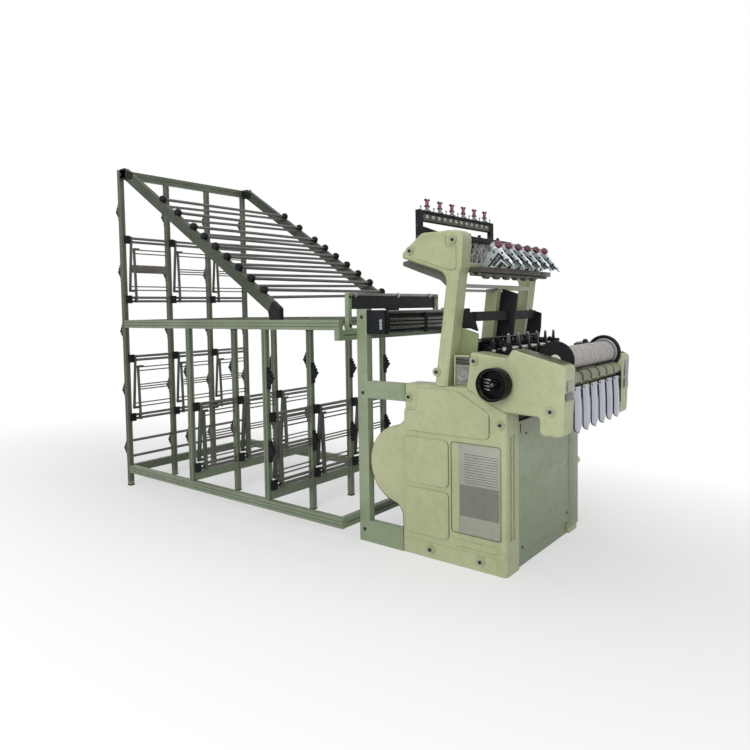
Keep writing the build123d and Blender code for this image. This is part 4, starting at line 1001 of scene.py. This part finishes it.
tension = {"y": -335.0, "top": 1604.0, "pitch": 111.0, "centre": 37.0, "half": 19.0, "turn": 40.0,
           "blade": 3.75,
           "cone": [(0, 0), (0, 18), (3, 18), (5, 14), (11, 9), (17, 7), (20, 9), (22, 9), (22, 0)],
           "pin": [(0, 0), (0, 5), (4, 5), (6, 2.5), (13, 2.5), (16, 5), (20, 5), (21, 0)],
           "tip": [(-6, 0), (-6, 4), (-3, 6), (3, 6), (6, 4), (6, 0)], "eyelets": 12, "eyeletPitch": 52.0}


def makeTension():
    # cones with crossed forks on the rail, pins between them, and a pale strip with eyelets below
    s = tension
    y, top, half = s["y"], s["top"], s["blade"]
    places = [loomMiddle + (i - 2.5) * s["pitch"] for i in range(6)]
    cones = [lathe(s["cone"], (x, y, top), upward, 28) for x in places]
    solidPiece("tensionCones", cones, "dullSteel", bevel=0.4, replaces=["tensioners"])
    forks = []
    tips = []
    height = top + s["centre"]
    for x in places:
        for turn in (s["turn"], -s["turn"]):
            blade = boxShape(x - half, x + half, y - half, y + half, height - s["half"], height + s["half"])
            forks.append(turnShape(blade, (x, y, height), toRear, turn))
            across = s["half"] * math.sin(math.radians(turn))
            up = s["half"] * math.cos(math.radians(turn))
            tips += [lathe(s["tip"], (x + way * across, y, height + way * up), toRear, 16) for way in (-1, 1)]
        forks.append(collar(-6, 6, 0, 8, (x, y, height), toRear, 20))
    solidPiece("tensionForks", forks, "pinkPlastic", bevel=0.6, replaces=["tensioner_caps"])
    solidPiece("tensionTips", tips, "maroonPlastic", bevel=0)
    pins = [lathe(s["pin"], (loomMiddle + (i - 3) * s["pitch"], y, top), (0.2, 0, 1), 14) for i in range(7)]
    solidPiece("tensionPins", pins, "dullSteel", bevel=0.2)
    rings = [((loomMiddle + (i - (s["eyelets"] - 1) / 2) * s["eyeletPitch"], y - 6.5, 1577.0), toFront)
             for i in range(s["eyelets"])]
    onPoints("tensionEyelets", "eyelets", rings, "creamPlastic", {"Ring Radius": 0.0058, "Wire Radius": 0.0032})
    strip = boxes((loomMiddle - 325, loomMiddle + 325, y - 6, y - 1, 1558, 1589))
    solidPiece("tensionStrip", strip, "leverGrey", bevel=0.6)
    corners = [((loomMiddle + d, y - 10, 1597), toFront) for d in (-343, 343)]
    corners += [((loomMiddle - 360, y, z), toNear) for z in (1480, 1530)]
    screws("tensionScrews", corners, 5.0, 2.0)


feeder = {"thick": 4.0, "tilt": 52.0, "edge": 6.5, "proud": 2.0, "wall": 5.0, "knobPlace": (-680.6, 1417.7),
          "knob": [(-1, 0), (0, 13), (4, 18), (10, 19), (17, 17), (23, 12), (26, 0)],
          "upper": [(-612, 1326), (-640, 1326), (-690, 1382), (-737, 1335), (-757, 1327), (-756, 1348),
                    (-722, 1384), (-702, 1412), (-688, 1432), (-664, 1439), (-650, 1430)],
          "inner": [(-648, 1326), (-664, 1326), (-692, 1352), (-724, 1326), (-735, 1330), (-694, 1368)],
          "finger": [(-640, 1396), (-676, 1402), (-680, 1412), (-644, 1420)],
          "tail": [(-742, 1344), (-760, 1316), (-766, 1318), (-750, 1350)],
          "outerEdge": [(-640, 1332), (-690, 1389), (-756, 1334)],
          "innerEdge": [(-654, 1334), (-692, 1371), (-735, 1333)], "topEdge": [(-664, 1436), (-704, 1424)],
          "screws": [(-654, 1360), (-668, 1392), (-708, 1386), (-736, 1356)],
          "cam": [(-22, 0), (-22, 10), (-15, 17), (15, 17), (22, 10), (22, 0)],
          "rod": [(0, 0), (0, 7), (690, 7), (716, 5), (720, 3), (720, 0)]}


def stripBelow(line, width, x0, x1):
    # a band of even width below a line of (y, z) points
    shapes = []
    for (ya, za), (yb, zb) in zip(line, line[1:]):
        along = Vector((yb - ya, zb - za)).normalized()
        down = Vector((along.y, -along.x)) * width
        if down.y > 0:
            down = -down
        shapes.append(slab([(ya, za), (yb, zb), (yb + down.x, zb + down.y), (ya + down.x, za + down.y)],
                           x0, x1))
    return shapes


def makeFeeders():
    # each head has a broad bent plate with dark lower edges, a smaller one inside it, and a knob
    s = feeder
    lean = math.radians(s["tilt"])
    out = (0, -math.sin(lean), math.cos(lean))
    plates, edges, fingers, knobs, heads = [], [], [], [], []
    for x in headX:
        face = x - s["wall"]
        inside = x + 14
        plates += [slab(s["upper"], face, face + s["thick"]), slab(s["inner"], inside, inside + s["thick"]),
                   boxShape(x - 4, x + 18, -662, -624, 1326, 1331)]
        edges += stripBelow(s["outerEdge"], s["edge"], face - s["proud"], face + 1)
        edges += stripBelow(s["innerEdge"], s["edge"] - 1, inside - s["proud"], inside + 1)
        edges += stripBelow(s["topEdge"], 3.0, face - 1, face + 1)
        fingers += [slab(s["finger"], face - 4, face - 1),
                    collar(0, 5, 0, 6, (face, -722, 1362), toNear, 18),
                    slab(s["tail"], x + 2, x + 5)]
        knobs.append(lathe(s["knob"], (x, *s["knobPlace"]), out, 28))
        heads += [((face, y, z), toNear) for y, z in s["screws"]]
    solidPiece("feederPlates", plates, "feederSteel", bevel=0.6, replaces=["weft_feeders"])
    solidPiece("feederEdges", edges, "blackPlastic", bevel=0.4)
    solidPiece("feederFingers", fingers, "chuteSteel", bevel=0.5)
    solidPiece("feederKnobs", knobs, "maroonPlastic", bevel=0, replaces=["feeder_knobs"])
    screws("feederScrews", heads, 3.6, 1.4)
    cams = [lathe(s["cam"], (x + 4, -624, 1293), toFar, 28) for x in headX]
    cams.append(lathe(s["rod"], (-300, -630, 1297), toFar, 24))
    solidPiece("feederCams", cams, "leverGrey", bevel=0.5)
    solidPiece("feederRest", boxes((-305, -164, -588, -566, 1327, 1348)), "castingPaint", bevel=1.5)
    lower = boxes((-305, 330, -604, -584, 1290, 1303), (318, 424, -652, -586, 1302, 1326))
    solidPiece("feederLowerBar", lower, "brownSteel", bevel=1.5)


weaving = {"bits": 52, "seed": 11, "bitSize": (2.5, 6.5), "bitAcross": (-46, 46), "bitAlong": (-720, -610),
           "bitHeight": (940, 996), "pin": 2.6,
           "pins": [(-2, -659, 986, 17), (18, -640, 958, 24), (-18, -690, 950, 14)],
           "reeds": 16, "reedPitch": 1.7, "needles": (-14, -8, -2, 4),
           "blocks": [(-24, 10, -676, -640, 937, 972), (14, 26, -690, -616, 937, 958),
                      (-10, 4, -668, -650, 972, 990), (-12, 16, -735, -690, 911, 936),
                      (-34, 34, -604, -592, 911, 996), (-40, -28, -700, -640, 937, 950)],
           "plates": [(-22, 8, -700, -694, 937, 966), (-30, -26, -690, -650, 938, 962)]}


def makeWeaving():
    # dark clamps, bright pins, reeds and needles on each head, with small fittings between them
    s = weaving
    p = s["pin"]
    chance = random.Random(s["seed"])
    black, bright, bits, needles, slats = [], [], [], [], []
    for x in headX:
        black += boxes(*((x + a, x + b, *rest) for a, b, *rest in s["blocks"]))
        black += [collar(-12, 12, 0, 13, (x + 2, -720, 940), toFar, 20),
                  collar(-20, 20, 0, 9, (x - 4, -628, 1000), toFar, 18)]
        bright += boxes(*((x + a, x + b, *rest) for a, b, *rest in s["plates"]))
        bright.append(collar(0, 10, 0, 6, (x + 20, -650, 957), upward, 16))
        for dx, y, z, tall in s["pins"]:
            pin = [(0, 0), (0, p + 2), (3, p + 2), (5, p - 1.5), (tall - 8, p - 2), (tall - 6, p),
                   (tall, p - 1), (tall + 3, 0)]
            bright.append(lathe(pin, (x + dx, y, z), (0, -0.15, 1), 16))
        for i in range(s["bits"]):
            size = chance.uniform(*s["bitSize"])
            a = x + chance.uniform(*s["bitAcross"])
            y = chance.uniform(*s["bitAlong"])
            z = chance.uniform(*s["bitHeight"])
            bits += boxes((a - size, a + size, y - size * 1.6, y + size * 1.6, z - 10, z + size))
        needles += [[(x + d, -700, 948 + 3 * i), (x + d, -745, 950 + 3 * i)]
                    for i, d in enumerate(s["needles"])]
        slats += [[(x - 20 + s["reedPitch"] * i, -704, z) for z in (939, 966)] for i in range(s["reeds"])]
    solidPiece("headBlocks", black, "blackSteel", bevel=1.0)
    solidPiece("headFittings", bits, "blackPlastic", bevel=0.6)
    solidPiece("headPlates", bright, "dullSteel", bevel=0.4)
    roundBars("headNeedles", needles, 1.0, "brightSteel", sides=6)
    roundBars("headReeds", slats, 0.45, "brightSteel", sides=5)
    rods = [[(x, y, z) for x in betweenSides] for y, z in ((-612, 1004), (-636, 1010))]
    roundBars("headRods", rods, 5.0, "darkScrew", sides=14)
    tops = [((x + d, -670, 938), upward) for x in headX for d in (-24, 27)]
    screws("headScrews", tops, 4.5, 2.4, "dullSteel")
    clamps = [collar(-7, 7, 9, 16, (x, -735, 966), toFar, 24) for x in headX]
    solidPiece("weftClamps", clamps, "blackPlastic", "weft_drive", bevel=0.5)
    tips = [collar(-4, 4, 0, 4, (x, -735, 1029), toFar, 16) for x in headX]
    solidPiece("weftTips", tips, "brightSteel", "weft_drive", bevel=0.3)


guide = {"outline": [(-524, 912), (-598, 912), (-610, 964), (-626, 1037), (-648, 1206), (-646, 1212),
                     (-576, 1236), (-560, 1200), (-547, 1154), (-528, 1037)], "near": 30.0, "far": 52.0}


def makeGuideCover():
    # the middle guide plate's folded cover and the pale beam behind it
    s = guide
    solidPiece("guideCover", [slab(s["outline"], s["near"], s["far"])], "blackSteel", bevel=1.0)
    solidPiece("armBeam", boxes((-4, 338, -570, -551, 1230, 1254)), "castingPaint", bevel=2.0)


cover = {"line": [(-846, 970.2), (-1038, 918.7)], "outer": 395.0, "inner": 302.0, "thick": 1.6, "deep": 4.0}


def makeHousingTopShade():
    # a thin dark sheet of painted shade on each housing's sloping top; outer and inner are measured from the
    # loom's middle
    s = cover
    outline = [(y, z + s["thick"]) for y, z in s["line"]] + [(y, z - s["deep"]) for y, z in reversed(s["line"])]
    shapes = [slab(outline, loomMiddle - s["outer"], loomMiddle - s["inner"]),
              slab(outline, loomMiddle + s["inner"], loomMiddle + s["outer"])]
    solidPiece("housingTopShade", shapes, "shadeBrown")


farFittings = {"edge": (305, 315, -1050, -1030, 690, 838), "place": (farX, -782, 347),
               "knob": [(0, 0), (0, 14), (3, 16), (12, 19), (30, 19), (36, 15), (38, 0)]}


def makeFarFittings():
    # a dark edge on the far nose and a white knob low on the far frame
    solidPiece("farNoseEdge", boxes(farFittings["edge"]), "blackSteel", bevel=1.0)
    knob = lathe(farFittings["knob"], farFittings["place"], toFar, 28)
    solidPiece("farKnob", [knob], "creamPlastic", bevel=0)


sheets = {"front": -798.0, "rear": -298.0, "screws": [(-190, 591), (-229, 88), (278, 112)],
          "rearAcross": (-240, -80, 80, 240), "rearHeights": (80, 380, 680)}


def makeSheetDetails():
    # screws, a crease, a slot, a black slab of painted shade in the gap above the front sheet, and the rear
    # sheet's screws
    front = sheets["front"]
    heads = [((x, front, z), toFront) for x, z in sheets["screws"]]
    screws("panelScrews", heads, 4.2, 1.6, sides=10)
    fold = boxes((-267, 299, front - 0.8, front + 2, 346, 390), (300, farX - 3, front - 3, front - 1, 28, 634))
    solidPiece("panelFold", fold, "sheetPaint", bevel=0.4)
    solidPiece("panelSlot", boxes((-249, -241, front - 0.6, front + 1, 600, 640)), "blackSteel", bevel=0.3)
    rear = [((x, sheets["rear"], z), toRear) for x in sheets["rearAcross"] for z in sheets["rearHeights"]]
    screws("rearPanelScrews", rear, 4.2, 1.6, "dullSteel", sides=10)
    # black slabs of painted shade under the housings, above the front sheet
    shadeGap = boxes((-267, 299, -792, -786, 652, 722), (-267, 299, -798.6, -796, 652, 659))
    solidPiece("panelTopShade", shadeGap, "blackPlastic", bevel=0.5)


rack = {"y": 60.0, "top": 1230.0, "tubeY": -140.0, "near": -380.0, "far": 410.0, "holes": (1058, 1075, 1091)}


def makeRack():
    # dark backing of the tubes, tray lip with its bolts, end rings and screws
    s = rack
    y, tubeY, top = s["y"], s["tubeY"], s["top"]
    backs = boxes((s["near"], s["far"], tubeY + 4, tubeY + 40, 1036, 1124),
                  (-352, -330, tubeY - 12, tubeY + 6, 1026, 1142), (-8, 14, tubeY - 13, tubeY + 6, 1026, 1122))
    solidPiece("rackBacking", backs, "blackSteel", bevel=1.5)
    solidPiece("rackTrayLip", boxes((-365, 397, y - 7, y + 7, top - 14, top + 1)), "dullSteel", bevel=1.0)
    spots = [((x, y - 7, top - 7), toFront) for x in (-331, 30, 341)]
    screws("rackTrayBolts", spots, 9.0, 3.5, "chuteSteel", sides=12)
    sides = ((nearX, toNear), (farX, toFar))
    screws("rackBolts", [((x, -150, z), way) for x, way in sides for z in s["holes"]], 6.0, 2.5, "chuteSteel")
    rings = [collar(-4, 4, 9.2, 14, (x, tubeY, z), toFar, 22)
             for x in (-322, 404) for z in (1058, 1077, 1096)]
    solidPiece("rackRings", rings, "blackPlastic", bevel=0.5)
    screws("rackScrews", [((x, y - 12, z), toFront) for x in (-381, 413) for z in (1070, 1210)], 5.0, 2.0)
    screws("supportScrews", [((x, -31, z), way) for x, way in sides for z in (60, 740, 1110)], 6.0, 2.5)


makeHandwheel()
makeBossScrews()
makePanelBeads()
makeHeadShadePlate()
makeNamePlate()
makePatches()
makeWindow()
makeTakeUp()
makeLatch()
makePress()
makeChutes()
makeHarness()
makeTension()
makeFeeders()
makeWeaving()
makeGuideCover()
makeHousingTopShade()
makeFarFittings()
makeSheetDetails()
makeRack()
print("stage: loom made")


# lamps are name, place, size and power
studio = {"floorColour": (0.84, 0.84, 0.83, 1.0), "white": (1.0, 1.0, 1.0, 1.0), "ambient": 0.38,
          "clearFrom": 0.7, "clearTo": 1.9, "aim": (0, 0, 0.9),
          "lamps": [("keyLamp", (-5.6, -1.8, 3.2), 3.0, 168.0), ("fillLamp", (-2.2, -6.4, 1.2), 3.0, 50.0),
                    ("topLamp", (0.0, 0.0, 5.5), 4.0, 40.0)]}


def makeFloorMaterial():
    # pale floor; to camera and mirror rays it turns white away from the machine
    s = studio
    material, tree = surfaceTree("floorPaint")
    tree.feed(tree.shader, {"Base Color": s["floorColour"], "Roughness": 0.9, "Specular IOR Level": 0.1})
    squeezed = tree.add("ShaderNodeMapping", {"Vector": tree.place, "Scale": (1.0, 0.42, 1.0)})
    length = tree.make("ShaderNodeVectorMath", operation="LENGTH")
    tree.feed(length, {0: squeezed})
    rays = tree.make("ShaderNodeLightPath").outputs
    seen = tree.maths("MAXIMUM", rays["Is Camera Ray"], rays["Is Glossy Ray"])
    away = tree.ranged(length.outputs["Value"], s["clearFrom"], s["clearTo"], 0.50, 1.0)
    white = tree.add("ShaderNodeEmission", {"Color": s["white"], "Strength": 1.0})
    share = tree.maths("MULTIPLY", seen, away)
    both = tree.add("ShaderNodeMixShader", {0: share, 1: tree.shader.outputs[0], 2: white})
    tree.feed(tree.nodes["Material Output"], {"Surface": both})
    return material


def makeStudio():
    # a white world seen by camera, mirror and glass rays, dimmer as light, with the floor and three soft lamps
    world = bpy.data.worlds.new("studioWorld")
    bpy.context.scene.world = world
    world.use_nodes = True
    tree = Tree(world.node_tree)
    rays = tree.make("ShaderNodeLightPath").outputs
    seen = tree.maths("MAXIMUM", rays["Is Camera Ray"], rays["Is Glossy Ray"])
    clear = tree.maths("MAXIMUM", seen, rays["Is Transmission Ray"])
    level = tree.ranged(clear, 0.0, 1.0, studio["ambient"], 1.0)
    tree.feed(tree.nodes["Background"], {"Color": studio["white"], "Strength": level})

    mesh = bpy.data.meshes.new("floor")
    mesh.from_pydata([(-30, -30, 0), (30, -30, 0), (30, 30, 0), (-30, 30, 0)], [], [(0, 1, 2, 3)])
    mesh.materials.append(makeFloorMaterial())
    floor = bpy.data.objects.new("floor", mesh)
    floor.location.z = -0.0005
    bpy.context.scene.collection.objects.link(floor)

    for name, place, size, power in studio["lamps"]:
        light = bpy.data.lights.new(name, "AREA")
        light.size = size
        light.energy = power
        lamp = bpy.data.objects.new(name, light)
        lamp.location = place
        lamp.rotation_euler = (Vector(studio["aim"]) - Vector(place)).to_track_quat("-Z", "Y").to_euler()
        bpy.context.scene.collection.objects.link(lamp)


# angles in degrees, the place in machine millimetres, and pixels of the photograph's 750 by 750
photo = {"yaw": 38.473, "pitch": -3.044, "roll": -0.886, "place": (-2814.2, -2025.4, 1150.7), "focal": 643.11,
         "middle": (372.74, 342.84), "size": 750.0, "sensor": 36.0}


def makeCamera():
    s = photo
    yaw, pitched, roll = (math.radians(s[key]) for key in ("yaw", "pitch", "roll"))
    forward = Vector((math.cos(yaw) * math.cos(pitched), math.sin(yaw) * math.cos(pitched), math.sin(pitched)))
    level = Vector((math.sin(yaw), -math.cos(yaw), 0))
    upright = level.cross(forward)
    right = level * math.cos(roll) + upright * math.sin(roll)
    up = upright * math.cos(roll) - level * math.sin(roll)
    lens = bpy.data.cameras.new("photoLens")
    lens.sensor_width = s["sensor"]
    lens.lens = s["focal"] * s["sensor"] / s["size"]
    lens.shift_x = (s["size"] / 2 - s["middle"][0]) / s["size"]
    lens.shift_y = (s["middle"][1] - s["size"] / 2) / s["size"]
    lens.clip_end = 200.0
    camera = bpy.data.objects.new("photoCamera", lens)
    turn = Matrix((right, up, -forward)).transposed().to_4x4()
    camera.matrix_world = Matrix.Translation(toFrame(s["place"])) @ turn
    bpy.context.scene.collection.objects.link(camera)
    bpy.context.scene.camera = camera


makeStudio()
makeCamera()
bpy.context.scene.view_settings.view_transform = "Standard"

print("stage: done")
